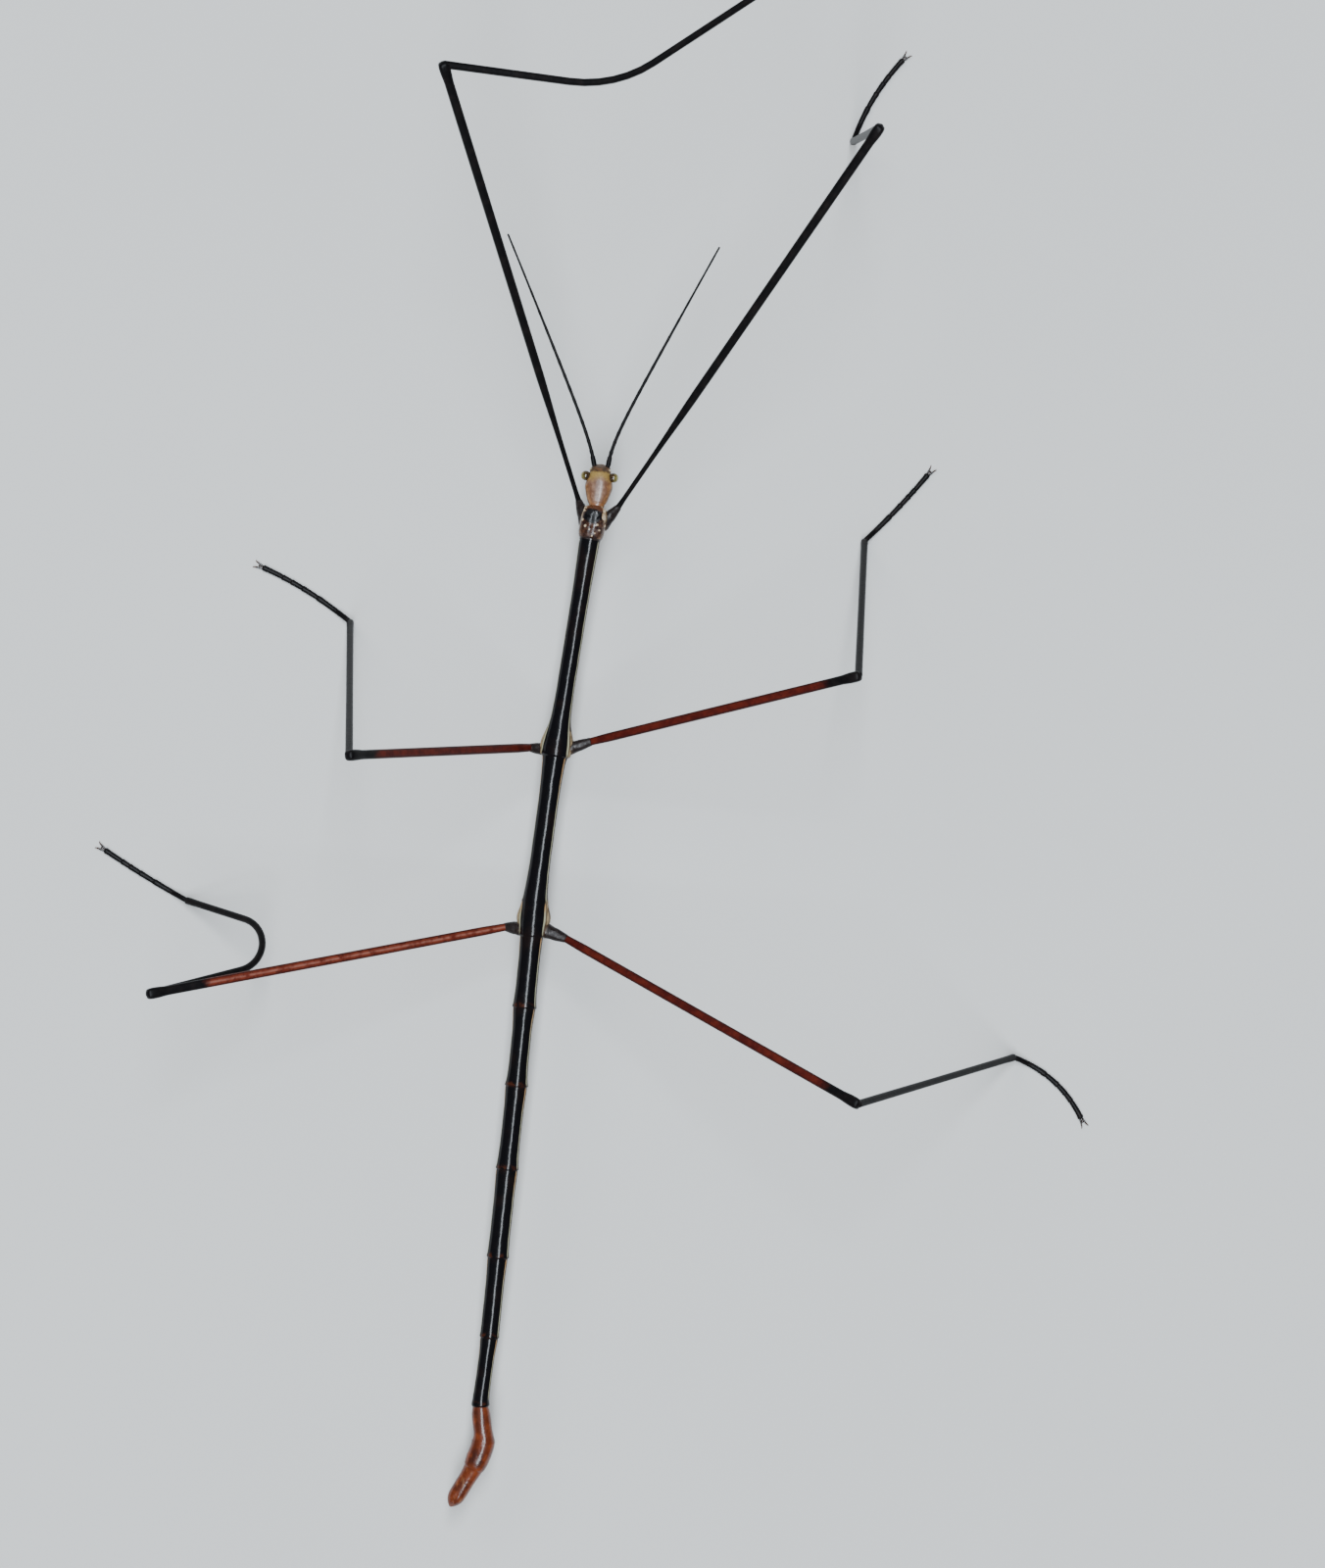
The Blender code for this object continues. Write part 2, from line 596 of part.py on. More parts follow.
def build_foot(leg, foot):
    """Five-jointed foot, pressed flat where it stands, and its pair of claws."""
    run = lengths_along(foot)
    start = 0.45
    length = run[-1] - start
    marks, thickness = [], []
    reached = 0.0
    for share in TARSOMERES:
        near, far = TARSUS_RADII
        for inner, radius in ((0.04, near), (0.45, (near + far) / 2.0), (0.92, far)):
            marks.append(reached + share * inner)
            thickness.append(radius)
        reached += share
    spots = [point_at(foot, run, start + mark * length) for mark in marks]
    way = (foot[-1] - foot[-2]).normalized()
    level = Vector((way.y, -way.x, 0.0)).normalized()
    rings = leg_rings(spots, thickness, 2.0, level)
    if leg.drop is None:
        for ring in rings:
            for point in ring:
                point.z = 0.0 if point.z < SOLE_PRESS else point.z
    loft(f"tarsus_{leg.name}", rings, "black_cuticle")
    build_claws(leg, foot[-1] + way * (GAP * 0.6), way)


def build_claws(leg, root, way):
    """Pair of claws as one flat forked plate."""
    curve = bpy.data.curves.new(f"claws_{leg.name}", "CURVE")
    curve.dimensions = "2D"
    curve.fill_mode = "BOTH"
    curve.extrude = CLAW_THICKNESS / 2.0 * MM
    outline = list(CLAW_OUTLINE) + [(x, -y) for x, y in reversed(CLAW_OUTLINE[:-1])]
    spline = curve.splines.new("POLY")
    spline.points.add(len(outline) - 1)
    spline.use_cyclic_u = True
    for control, (along, across) in zip(spline.points, outline):
        control.co = (along * MM, across * MM, 0.0, 1.0)
    claws = add_object(f"claws_{leg.name}", curve, "black_cuticle")
    side = Vector((-way.y, way.x, 0.0)).normalized()
    turn = Matrix((way, side, way.cross(side))).transposed()
    claws.rotation_euler = turn.to_euler()
    if leg.drop is None:
        root = Vector((root.x, root.y, CLAW_THICKNESS / 2.0))
    claws.location = root * MM


# ---------------------------------------------------------------- whole animal
def centre_on_floor():
    """Hang every piece from one empty that puts the middle of the model's box at x = y = 0."""
    bpy.context.view_layer.update()
    graph = bpy.context.evaluated_depsgraph_get()
    corners = []
    for piece in bpy.data.collections[COLLECTION].objects:
        shape = piece.evaluated_get(graph)
        mesh = shape.to_mesh()
        corners += [shape.matrix_world @ vertex.co for vertex in mesh.vertices]
        shape.to_mesh_clear()
    root = bpy.data.objects.new("insect_root", None)
    bpy.data.collections[COLLECTION].objects.link(root)
    middle = [(min(c[i] for c in corners) + max(c[i] for c in corners)) / 2.0 for i in (0, 1)]
    root.location = (-middle[0], -middle[1], -min(corner.z for corner in corners))
    for name in (COLLECTION, CUTTERS):
        for piece in bpy.data.collections[name].objects:
            if piece != root:
                piece.parent = root


def main():
    for piece in list(bpy.data.objects):
        bpy.data.objects.remove(piece, do_unlink=True)
    for name in (COLLECTION, CUTTERS):
        bpy.context.scene.collection.children.link(bpy.data.collections.new(name))
    joints = trunk_joints()
    build_head(joints)
    rings = [build_segment(part, index, joints) for index, part in enumerate(SEGMENTS)]
    split_tip(rings[-1], joints)
    for leg in LEGS:
        build_leg(leg, joints)
    centre_on_floor()


main()
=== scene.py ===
"""Giant stick insect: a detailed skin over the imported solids, its eyes and claws, studio and camera.

Sizes are in millimetres and degrees, in a working frame whose origin lies on the body's axis where
the hind two thorax rings meet; the head points to +Y and the animal's right side to +X.  The
skeleton repeats the named sizes of the part's own source.
"""

import math
from collections import namedtuple

import bmesh
import bpy
import numpy as np
from mathutils import Matrix, Vector


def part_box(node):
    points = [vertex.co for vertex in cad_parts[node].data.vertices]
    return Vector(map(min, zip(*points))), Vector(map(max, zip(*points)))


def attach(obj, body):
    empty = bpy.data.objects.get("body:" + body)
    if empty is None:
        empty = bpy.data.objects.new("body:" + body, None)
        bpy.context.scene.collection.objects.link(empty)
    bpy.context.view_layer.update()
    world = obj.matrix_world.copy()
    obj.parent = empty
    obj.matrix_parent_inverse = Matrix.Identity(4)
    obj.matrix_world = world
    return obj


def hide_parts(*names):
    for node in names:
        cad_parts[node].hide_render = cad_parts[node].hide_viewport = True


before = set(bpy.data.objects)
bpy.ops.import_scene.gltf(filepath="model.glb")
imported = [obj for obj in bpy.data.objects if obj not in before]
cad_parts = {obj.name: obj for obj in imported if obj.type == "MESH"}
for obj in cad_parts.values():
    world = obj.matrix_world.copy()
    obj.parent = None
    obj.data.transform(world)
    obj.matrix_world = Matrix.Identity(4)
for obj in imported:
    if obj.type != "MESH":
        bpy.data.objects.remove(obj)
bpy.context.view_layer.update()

MM = 0.001
# place of each paint in the skin's list
SLOT = {"black": 0, "pronotum": 1, "tip": 2, "head": 3, "coxa": 4, "leg": 5}

# ---- trunk
TRUNK_HEIGHT = 9.3
TRUNK_ROLL = 10.0          # the right side is carried this much higher than the left
DORSAL_SHARE = 0.48        # height over the axis as a share of the width
FLARE = 0.34               # share of a segment over which each end widens
TRUNK_POWER = 2.2          # boxiness of the cross section: two is an ellipse
ORIGIN_JOINT = 2
TAIL_JOINT = 10            # where the rust red tail begins
# name, length, yaw, droop, width in front, at the waist, behind, and the belly as a share of it
Segment = namedtuple("Segment", "name length yaw droop front waist hind belly")
SEGMENTS = (
    Segment("prothorax", 3.3, -4.4, 3.0, 2.15, 2.66, 2.58, 0.44),
    Segment("mesothorax", 22.4, -2.0, 2.3, 2.15, 1.84, 2.76, 0.42),
    Segment("metathorax", 15.0, -0.6, 1.0, 2.45, 2.10, 2.60, 0.42),
    Segment("abdomen_1", 3.5, 2.0, 0.0, 2.55, 2.45, 2.45, 0.40),
    Segment("abdomen_2", 7.3, 1.4, 0.0, 2.40, 2.20, 2.46, 0.40),
    Segment("abdomen_3", 8.0, 1.4, 1.0, 2.40, 2.00, 2.38, 0.40),
    Segment("abdomen_4", 8.5, 0.8, 2.0, 2.32, 2.04, 2.32, 0.40),
    Segment("abdomen_5", 9.0, 1.1, 3.0, 2.28, 2.08, 2.24, 0.40),
    Segment("abdomen_6", 8.2, 1.3, 3.0, 2.16, 1.90, 1.94, 0.40),
    Segment("abdomen_7", 7.0, -0.7, 4.0, 1.88, 1.60, 1.88, 0.40),
    Segment("abdomen_8", 3.8, 14.0, 6.0, 1.60, 1.95, 2.50, 0.50),
    Segment("abdomen_9", 2.8, -15.0, 10.0, 2.46, 2.40, 2.16, 0.54),
    Segment("abdomen_10", 4.9, -24.0, 14.0, 2.08, 1.80, 1.16, 0.44),
)
JOINTS = np.concatenate(([0.0], np.cumsum([part.length for part in SEGMENTS])))
TRUNK_STEP = 0.08
TRUNK_AROUND = 128
AXIS_BLUR = 7.5            # in steps: how softly the axis bends at a joint
WIDTH_BLUR = 1.8

# ---- head
HEAD_LENGTH = 4.2
HEAD_YAW = 0.8
HEAD_RISE = 8.0
HEAD_ROLL = 6.0
NECK_GAP = 0.3
# share of the head's length from the front, half width, height over and depth under the axis
HEAD_SECTIONS = (
    (0.00, 0.76, 0.26, 0.50),
    (0.05, 1.00, 0.54, 0.84),
    (0.14, 1.08, 0.78, 1.00),
    (0.24, 1.10, 0.92, 1.06),
    (0.34, 1.20, 1.00, 1.08),
    (0.45, 1.36, 1.06, 1.06),
    (0.57, 1.40, 1.06, 1.02),
    (0.69, 1.29, 1.02, 0.96),
    (0.81, 1.15, 0.92, 0.86),
    (0.93, 0.95, 0.76, 0.72),
    (1.00, 0.78, 0.62, 0.58),
)
EYE_RADII = (0.50, 0.50, 0.50)
EYE_SHARE = 0.29
EYE_SIDE = 1.43
EYE_LIFT = 0.25

# ---- feelers
FEELER_LENGTH = 25.0
FEELER_SIDE = 0.74
FEELER_LIFT = 0.12
FEELER_SETTLE = 2.4
FEELERS = (("left", -1, 107.0, 119.5), ("right", 1, 88.0, 68.0))
FEELER_RISE = (16.0, 4.0)
FEELER_STEPS = 200
FEELER_RADII = ((0.0, 0.20), (0.5, 0.27), (1.15, 0.25), (1.3, 0.19), (1.75, 0.22), (1.95, 0.185),
                (8.0, 0.165), (25.5, 0.10))
WHIP_START = 1.9           # length of the first two joints

# ---- legs
ANKLE_HEIGHT = 0.95
SOLE_HEIGHT = 0.32
SETTLE_SHARE = 0.16
TARSUS_STEPS = 24
ARC_STEP = 8.0
# coxa and femur: length, azimuth and rise; tibia: length, then each share of it with its azimuth;
# bow: radius of its bend; drop: fall of a raised shin; tarsus: length, first and last azimuth
Leg = namedtuple("Leg", "name side station out sink coxa femur tibia bow drop tarsus")
LEGS = (
    Leg("fore_left", -1, 2.1, 0.82, 0.60, (2.54, 82.7, -4.0), (50.2, 116.4, 33.9),
        (36.6, (0.47, 2.7), (0.53, 43.0)), 12.5, 9.0, (10.2, 50.0, 66.0)),
    Leg("fore_right", 1, 2.0, 0.80, 0.40, (2.56, 86.0, -5.1), (50.2, 61.4, 33.0),
        (36.8, (1.0, 93.3)), 0.0, None, (10.4, 78.0, 54.0)),
    Leg("mid_left", -1, 24.8, 0.70, 0.45, (0.81, 206.1, -7.6), (28.26, 193.6, 50.3),
        (33.1, (1.0, 99.7)), 0.0, None, (10.8, 147.0, 163.0)),
    Leg("mid_right", 1, 24.6, 0.80, 0.30, (1.65, 34.7, 1.9), (31.0, 19.3, 30.5),
        (29.1, (1.0, 87.7)), 0.0, None, (9.8, 50.0, 57.0)),
    Leg("hind_left", -1, 43.2, 0.74, 0.45, (0.87, 198.5, -6.9), (38.6, 198.2, 21.2),
        (31.0, (0.55, 23.0), (0.45, 169.0)), 2.75, None, (10.0, 158.0, 153.0)),
    Leg("hind_right", 1, 43.0, 0.80, 0.30, (1.79, -35.9, 2.1), (37.4, -23.2, 28.7),
        (32.3, (1.0, 20.5)), 0.0, None, (9.8, -12.0, -58.0)),
)


# ---- directions and paths
def heading(azimuth, rise):
    """Unit vector at an azimuth from +X towards +Y and a rise over the floor."""
    azimuth, rise = math.radians(azimuth), math.radians(rise)
    return Vector((math.cos(azimuth) * math.cos(rise), math.sin(azimuth) * math.cos(rise),
                   math.sin(rise)))


def backward(yaw, droop):
    """Unit vector going tailward, turned to the right by yaw and down by droop."""
    return heading(yaw - 90.0, -droop)


def rolled_side(tangent, roll):
    """The body's own right-hand direction, square to its axis."""
    roll = math.radians(roll)
    side = Vector((math.cos(roll), 0.0, math.sin(roll)))
    return (side - tangent * side.dot(tangent)).normalized()


def eased(table, shares):
    """Values at shares of a length, read from (share, value) pairs with eased steps."""
    shares = np.clip(np.asarray(shares, dtype=float), table[0][0], table[-1][0])
    marks = np.array([mark for mark, _ in table])
    values = np.array([value for _, value in table])
    low = np.clip(np.searchsorted(marks, shares, side="right") - 1, 0, len(marks) - 2)
    part = (shares - marks[low]) / (marks[low + 1] - marks[low])
    return values[low] + (values[low + 1] - values[low]) * part * part * (3.0 - 2.0 * part)


def bell(values, middle, spread):
    """A smooth hump of height one."""
    return np.exp(-((np.asarray(values) - middle) / spread) ** 2)


def ramp(values, low, high):
    """A smooth step from zero at low to one at high."""
    share = np.clip((np.asarray(values) - low) / (high - low), 0.0, 1.0)
    return share * share * (3.0 - 2.0 * share)


def plateau(values, start, full, fading, end):
    """One between full and fading, falling smoothly to zero at start and end."""
    return ramp(values, start, full) * (1.0 - ramp(values, fading, end))


def dome(shares, least=0.05):
    """Half width of a round end at shares of its length from the tip."""
    return np.sqrt(1.0 - (1.0 - np.clip(shares, least, 1.0)) ** 2)


def humps(table, along, side):
    """Relief from rows of height, place along and its spread, angle and its spread."""
    return sum(height * bell(along, place, reach) * bell(side, middle, spread)
               for height, place, reach, middle, spread in table)


def bands(table, along, side):
    """Relief from rows of height, the four places of a plateau, angle and its spread."""
    return sum(height * plateau(along, *places) * bell(side, middle, spread)
               for height, *places, middle, spread in table)


def blurred(values, spread):
    """A row of values blurred along itself, its ends carried on in a straight line."""
    reach = int(math.ceil(3.0 * spread))
    weights = np.exp(-0.5 * (np.arange(-reach, reach + 1) / spread) ** 2)
    padded = np.pad(values, reach, mode="reflect", reflect_type="odd")
    return np.convolve(padded, weights / weights.sum(), "valid")


def rounded(corners, radii):
    """Points of a path through the corners, with each inner corner rounded to its radius."""
    points = [corners[0]]
    for before, corner, after, radius in zip(corners, corners[1:], corners[2:], radii):
        into, out = (corner - before).normalized(), (after - corner).normalized()
        turn = into.angle(out)
        if radius <= 0.0 or turn < 1e-3:
            points.append(corner)
            continue
        reach = radius * math.tan(turn / 2.0)
        centre = corner + (out - into).normalized() * math.hypot(radius, reach)
        first = corner - into * reach - centre
        axis = into.cross(out)
        steps = max(2, math.ceil(math.degrees(turn) / ARC_STEP))
        for step in range(steps + 1):
            points.append(centre + Matrix.Rotation(turn * step / steps, 3, axis) @ first)
    points.append(corners[-1])
    return points


def evenly(points, step):
    """Centres along a path at an even step, and the running length at each of them."""
    points = np.array(points)
    run = np.concatenate(([0.0], np.cumsum(np.linalg.norm(np.diff(points, axis=0), axis=1))))
    marks = np.linspace(0.0, run[-1], max(8, int(run[-1] / step)))
    return np.stack([np.interp(marks, run, points[:, axis]) for axis in range(3)], axis=1), marks


def ways_along(centres):
    """Unit direction of a row of centres at each of them."""
    ways = np.gradient(centres, axis=0)
    return ways / np.linalg.norm(ways, axis=1)[:, None]


# ---- shells
def added(name, data):
    """New object in the scene from a mesh, lamp or camera."""
    made = bpy.data.objects.new(name, data)
    bpy.context.scene.collection.objects.link(made)
    return made


Shell = namedtuple("Shell", "name points marks materials")


def rings(centres, ways, level, half, top, bottom, around, power):
    """Rows of points round a line, with the across and up shares of each point."""
    level = np.broadcast_to(np.array(level, dtype=float), centres.shape)
    side = level - ways * (level * ways).sum(axis=1)[:, None]
    side /= np.linalg.norm(side, axis=1)[:, None]
    up = np.cross(ways, side)
    angle = 2.0 * math.pi * (np.arange(around) + 0.5) / around
    across, rise = np.cos(angle), np.sin(angle)
    scale = (np.abs(across) ** power + np.abs(rise) ** power) ** (-1.0 / power)
    height = np.where(rise > 0.0, np.asarray(top)[:, None], np.asarray(bottom)[:, None])
    x = np.asarray(half)[:, None] * across * scale
    y = height * rise * scale
    points = centres[:, None] + side[:, None] * x[..., None] + up[:, None] * y[..., None]
    outward = side[:, None] * across[None, :, None] + up[:, None] * rise[None, :, None]
    shares = {"across": np.broadcast_to(across, x.shape), "rise": np.broadcast_to(rise, x.shape)}
    return points, outward, shares


def shell_object(shell, offset, materials):
    """Closed mesh object from a shell's rows of points, with its marks as attributes."""
    rows, around = shell.points.shape[:2]
    ends = [shell.points[0].mean(axis=0), shell.points[-1].mean(axis=0)]
    points = np.concatenate([shell.points.reshape(-1, 3), ends])
    row, column = np.meshgrid(np.arange(rows - 1), np.arange(around), indexing="ij")
    following = (column + 1) % around
    quads = np.stack([row * around + column, row * around + following,
                      (row + 1) * around + following, (row + 1) * around + column], axis=-1)
    faces = quads.reshape(-1, 4).tolist()
    slots = np.repeat(shell.materials[:-1], around).tolist()
    first, last = rows * around, rows * around + 1
    for column in range(around):
        following = (column + 1) % around
        faces.append((following, column, first))
        faces.append(((rows - 1) * around + column, (rows - 1) * around + following, last))
        slots += [int(shell.materials[0]), int(shell.materials[-1])]
    mesh = bpy.data.meshes.new(shell.name)
    mesh.from_pydata(((points + offset) * MM).tolist(), [], faces)
    for material in materials:
        mesh.materials.append(material)
    mesh.polygons.foreach_set("material_index", slots)
    for name, values in shell.marks.items():
        values = np.broadcast_to(values, (rows, around))
        values = np.concatenate([values.reshape(-1), [values[0].mean(), values[-1].mean()]])
        attribute = mesh.attributes.new(name, "FLOAT", "POINT")
        attribute.data.foreach_set("value", values.astype(np.float32))
    return added(shell.name, mesh)


def outward_volume(piece):
    """Signed volume of a closed mesh: positive where its faces look outward."""
    shape = bmesh.new()
    shape.from_mesh(piece.data)
    volume = shape.calc_volume(signed=True)
    shape.free()
    return volume


# ---- trunk skin
# swellings of the flanks over the middle and hind legs: station behind the neck, reach ahead
# and behind, height, angle from the middle of the back and spread of that angle
LOBES = (
    (24.4, 1.6, 1.2, 0.50, 96.0, 30.0),
    (42.3, 1.3, 1.2, 0.55, 98.0, 30.0),
)
PALE_FLANKS = ((22.6, 25.75), (40.0, 44.15))   # stations between which the flank is beige
LINE_ANGLE = 64.0          # angle of the pale side line from the middle of the back
LINE_SPREAD = 7.0
LINE_START, LINE_END = 3.2, 91.6
RIM_HEIGHT = 0.032         # rise of each hind edge over the segment behind it
RIM_REACH = 0.55
STEP_DEPTH = 0.065         # drop behind a hind edge
STEP_REACH = 0.30
SOFT_JOINTS = {2: 0.45, 10: 0.45, 11: 0.35}    # joints with weaker edges, the first being 0
COLLAR_START = -0.30       # station at which the first ring's collar begins
SWAY_HEIGHT = 0.006        # slow unevenness of the back, which makes its reflections waver
TAIL_ROUNDING = 1.3        # length over which the tail's end rounds off
# pale tubercles of the first ring: station, angle to the right of the middle, radius and height; their
# paleness is the ring's own cream spots, except for the arc from station 2.2 to 2.9, which is a painted
# highlight
TUBERCLES = (
    (0.08, -46.0, 0.20, 0.05), (0.10, 52.0, 0.24, 0.05),
    (0.42, -54.0, 0.16, 0.05), (1.43, -46.0, 0.16, 0.06), (2.00, -24.0, 0.15, 0.06),
    (0.85, 56.0, 0.34, 0.04), (1.70, 28.0, 0.13, 0.05), (1.63, 72.0, 0.19, 0.06),
    # painted highlight: this arc of three pale spots stands for a glint running across the back of the ring
    (2.20, 41.0, 0.12, 0.05), (2.60, 25.0, 0.10, 0.04), (2.90, 14.0, 0.11, 0.04),
    (2.30, -4.0, 0.09, 0.04),
)
TUBERCLE_ARC = 1.25        # distance of the first ring's skin from its axis
# the side lines and the furrow under each; furrow and shoulders of the first ring (see bands)
TRUNK_BANDS = (
    (0.040, LINE_START, LINE_START + 0.6, LINE_END - 0.5, LINE_END, LINE_ANGLE, LINE_SPREAD),
    (-0.045, LINE_START, LINE_START + 0.6, LINE_END - 0.5, LINE_END, LINE_ANGLE + 13.0, 4.5),
    (-0.045, 0.3, 0.8, 2.5, 3.0, 0.0, 9.0),
    (0.05, 0.3, 0.8, 2.5, 3.0, 52.0, 14.0),
)
# front corners of the first ring and groove in the tail's end (see humps)
TRUNK_HUMPS = ((0.16, 0.0, 0.35, 58.0, 18.0), (-0.10, JOINTS[-1] - 0.7, 0.8, 0.0, 12.0))
# folds across the back: height, station and its spread, angles between which each fades
TRUNK_FOLDS = ((-0.05, 1.45, 0.14, 50.0, 75.0), (0.05, 39.6, 0.9, 40.0, 70.0))
LOBE_FURROWS = ((0.08, 76.0, 4.0), (0.064, 90.0, 4.0))    # depth, angle and its spread
PINCH_DEPTH, PINCH_REACH = 0.16, 0.45      # narrowing just ahead of the first joint


def ring_angles(shares):
    """Angle of a ring's points from the top, positive to the animal's right, in degrees."""
    return np.degrees(np.arctan2(shares["across"][0], shares["rise"][0]))


def trunk_widths(stations):
    """Width and belly share at each station."""
    widths, bellies = [], []
    for station in stations:
        number = min(max(int(np.searchsorted(JOINTS, station, side="right")) - 1, 0), len(SEGMENTS) - 1)
        part = SEGMENTS[number]
        share = max(0.0, station - JOINTS[number]) / part.length
        ahead = max(0.0, 1.0 - share / FLARE) ** 2
        behind = max(0.0, 1.0 - (1.0 - share) / FLARE) ** 2
        widths.append(part.waist + (part.front - part.waist) * ahead + (part.hind - part.waist) * behind)
        bellies.append(part.belly)
    return np.array(widths), np.array(bellies)


def trunk_axis(stations):
    """Centres of the body's axis at the stations, carried on in a straight line before the first."""
    joints = [Vector((0.0, 0.0, 0.0))]
    for part in SEGMENTS:
        joints.append(joints[-1] + backward(part.yaw, part.droop) * part.length)
    joints = np.array(joints)
    joints += np.array([0.0, 0.0, TRUNK_HEIGHT]) - joints[ORIGIN_JOINT]
    ahead = np.array(tuple(backward(SEGMENTS[0].yaw, SEGMENTS[0].droop)))
    joints = np.concatenate(([joints[0] - ahead], joints))
    marks = np.concatenate(([-1.0], JOINTS))
    return np.stack([np.interp(stations, marks, joints[:, axis]) for axis in range(3)], axis=1)


def trunk_relief(stations, angle):
    """Rise of the skin over the plain segment shape."""
    s = stations[:, None]
    side = np.abs(angle)[None, :]
    relief = bands(TRUNK_BANDS, s, side) + humps(TRUNK_HUMPS, s, side)
    for number, joint in enumerate(JOINTS[1:-1]):
        strength = SOFT_JOINTS.get(number, 1.0)
        relief += strength * RIM_HEIGHT * ramp(s, joint - RIM_REACH, joint - 0.1) * (s < joint)
        relief -= strength * STEP_DEPTH * np.exp(-np.maximum(s - joint, 0.0) / STEP_REACH) * (s >= joint)
    for station, ahead, behind, height, middle, spread in LOBES:
        along = np.where(s < station, bell(s, station, ahead), bell(s, station, behind))
        relief += height * along * bell(side, middle, spread)
        for depth, furrow, width in LOBE_FURROWS:
            relief -= depth * along * bell(side, furrow, width)
    for height, station, reach, start, end in TRUNK_FOLDS:
        relief += height * bell(s, station, reach) * (1.0 - ramp(side, start, end))
    relief -= PINCH_DEPTH * bell(s, JOINTS[1], PINCH_REACH) * (s < JOINTS[1])
    turned = np.radians(angle)[None, :]
    relief += SWAY_HEIGHT * np.sin(1.9 * s + 1.3 * np.sin(0.7 * s)) * np.cos(2.0 * turned + 0.8 * s)
    return relief


def tubercles(stations, angle):
    """Rise and paleness of the first ring's tubercles; on some of them the paleness is a painted highlight.
    """
    relief = np.zeros((len(stations), len(angle)))
    pale = np.zeros_like(relief)
    for station, middle, radius, height in TUBERCLES:
        arc = np.radians(angle[None, :] - middle) * TUBERCLE_ARC
        away = np.hypot(stations[:, None] - station, arc) / radius
        relief += height * bell(away, 0.0, 0.9)
        pale = np.maximum(pale, 1.0 - ramp(away, 0.30, 1.45))
    return relief, pale


def trunk_shell():
    """Thorax and abdomen in one shell."""
    stations = np.arange(COLLAR_START, JOINTS[-1] + TRUNK_STEP / 2.0, TRUNK_STEP)
    axis = trunk_axis(stations)
    centres = np.stack([blurred(axis[:, k], AXIS_BLUR) for k in range(3)], axis=1)
    widths, bellies = trunk_widths(stations)
    close = 0.55 + 0.45 * ramp(stations, COLLAR_START, 0.10)
    close *= dome((JOINTS[-1] - stations) / TAIL_ROUNDING, 0.02)
    widths = blurred(widths, WIDTH_BLUR) * close
    bellies = blurred(bellies, AXIS_BLUR)
    level = (math.cos(math.radians(TRUNK_ROLL)), 0.0, math.sin(math.radians(TRUNK_ROLL)))
    points, outward, shares = rings(centres, ways_along(centres), level, widths / 2.0,
                                    widths * DORSAL_SHARE, widths * bellies, TRUNK_AROUND, TRUNK_POWER)
    angle = ring_angles(shares)
    raised, spot = tubercles(stations, angle)
    points = points + outward * (trunk_relief(stations, angle) + raised)[..., None]
    line, warm, rim = trunk_marks(stations)
    marks = dict(shares, along=stations[:, None], line=line[:, None], warm=warm[:, None], spot=spot,
                 rim=rim[:, None], lobe=pale_flank(stations[:, None], np.abs(angle)[None, :]))
    materials = np.where(stations < JOINTS[1], SLOT["pronotum"],
                         np.where(stations < JOINTS[TAIL_JOINT], SLOT["black"], SLOT["tip"]))
    return Shell("trunk", points, marks, materials)


def pale_flank(stations, side):
    """Share of beige on the flanks: a wedge under the side line that widens towards the leg."""
    share = 0.0
    for start, end in PALE_FLANKS:
        within = plateau(stations, start, start + 0.3, end - 0.25, end)
        under = 66.0 + 84.0 * ramp(stations, start, start + 1.6)
        share = np.maximum(share, within * ramp(side, 59.0, 64.0) * (1.0 - ramp(side, under, under + 8.0)))
    return share


def trunk_marks(stations):
    """Strength of the side line, of its warm start on each segment, and of the brown hind rims."""
    line = plateau(stations, LINE_START, LINE_START + 0.5, LINE_END - 0.6, LINE_END)
    warm = np.zeros(len(stations))
    rim = np.zeros(len(stations))
    for number in range(2, 10):
        joint, length = JOINTS[number], SEGMENTS[number].length
        line *= 1.0 - bell(stations, joint - 0.05, 0.20)
        warm = np.maximum(warm, (stations >= joint) * (1.0 - ramp(stations, joint, joint + 0.45 * length)))
    for number in range(5, 11):
        rim = np.maximum(rim, bell(stations, JOINTS[number] - 0.22, 0.22))
    return line, warm, rim


# ---- head skin
HEAD_AROUND = 96
HEAD_STEP = 0.04
NECK_REACH = 0.75          # length of the neck hidden in the first body ring
# hollow round the eye, brow over the feeler's root, cheek (see humps)
HEAD_HUMPS = ((-0.03, EYE_SHARE, 0.09, 80.0, 24.0), (0.08, 0.09, 0.05, 38.0, 13.0),
              (0.05, 0.50, 0.14, 82.0, 22.0))
# seams of the crown (see bands)
HEAD_BANDS = ((-0.012, 0.4, 0.55, 0.86, 0.95, 34.0, 4.0), (-0.025, 0.36, 0.5, 0.9, 1.0, 0.0, 16.0))
KNOBS = ((1.0, 0.12, 0.038, 60.0, 13.0),)    # pale knobs at the feelers' roots (see humps)
KNOB_HEIGHT = 0.16


def head_frame():
    """Front point, tailward direction, right and up of the head."""
    way = backward(HEAD_YAW, -HEAD_RISE)
    side = rolled_side(way, HEAD_ROLL)
    neck = Vector(trunk_axis(np.array([0.0]))[0])
    neck = neck - way * (NECK_GAP / 2.0) - backward(SEGMENTS[0].yaw, 0.0) * (NECK_GAP / 2.0)
    return neck - way * HEAD_LENGTH, way, side, way.cross(side)


def in_head(along, across, rise):
    """Point of the head at a distance behind its front, to the right and up."""
    front, way, side, up = head_frame()
    return front + way * along + side * across + up * rise


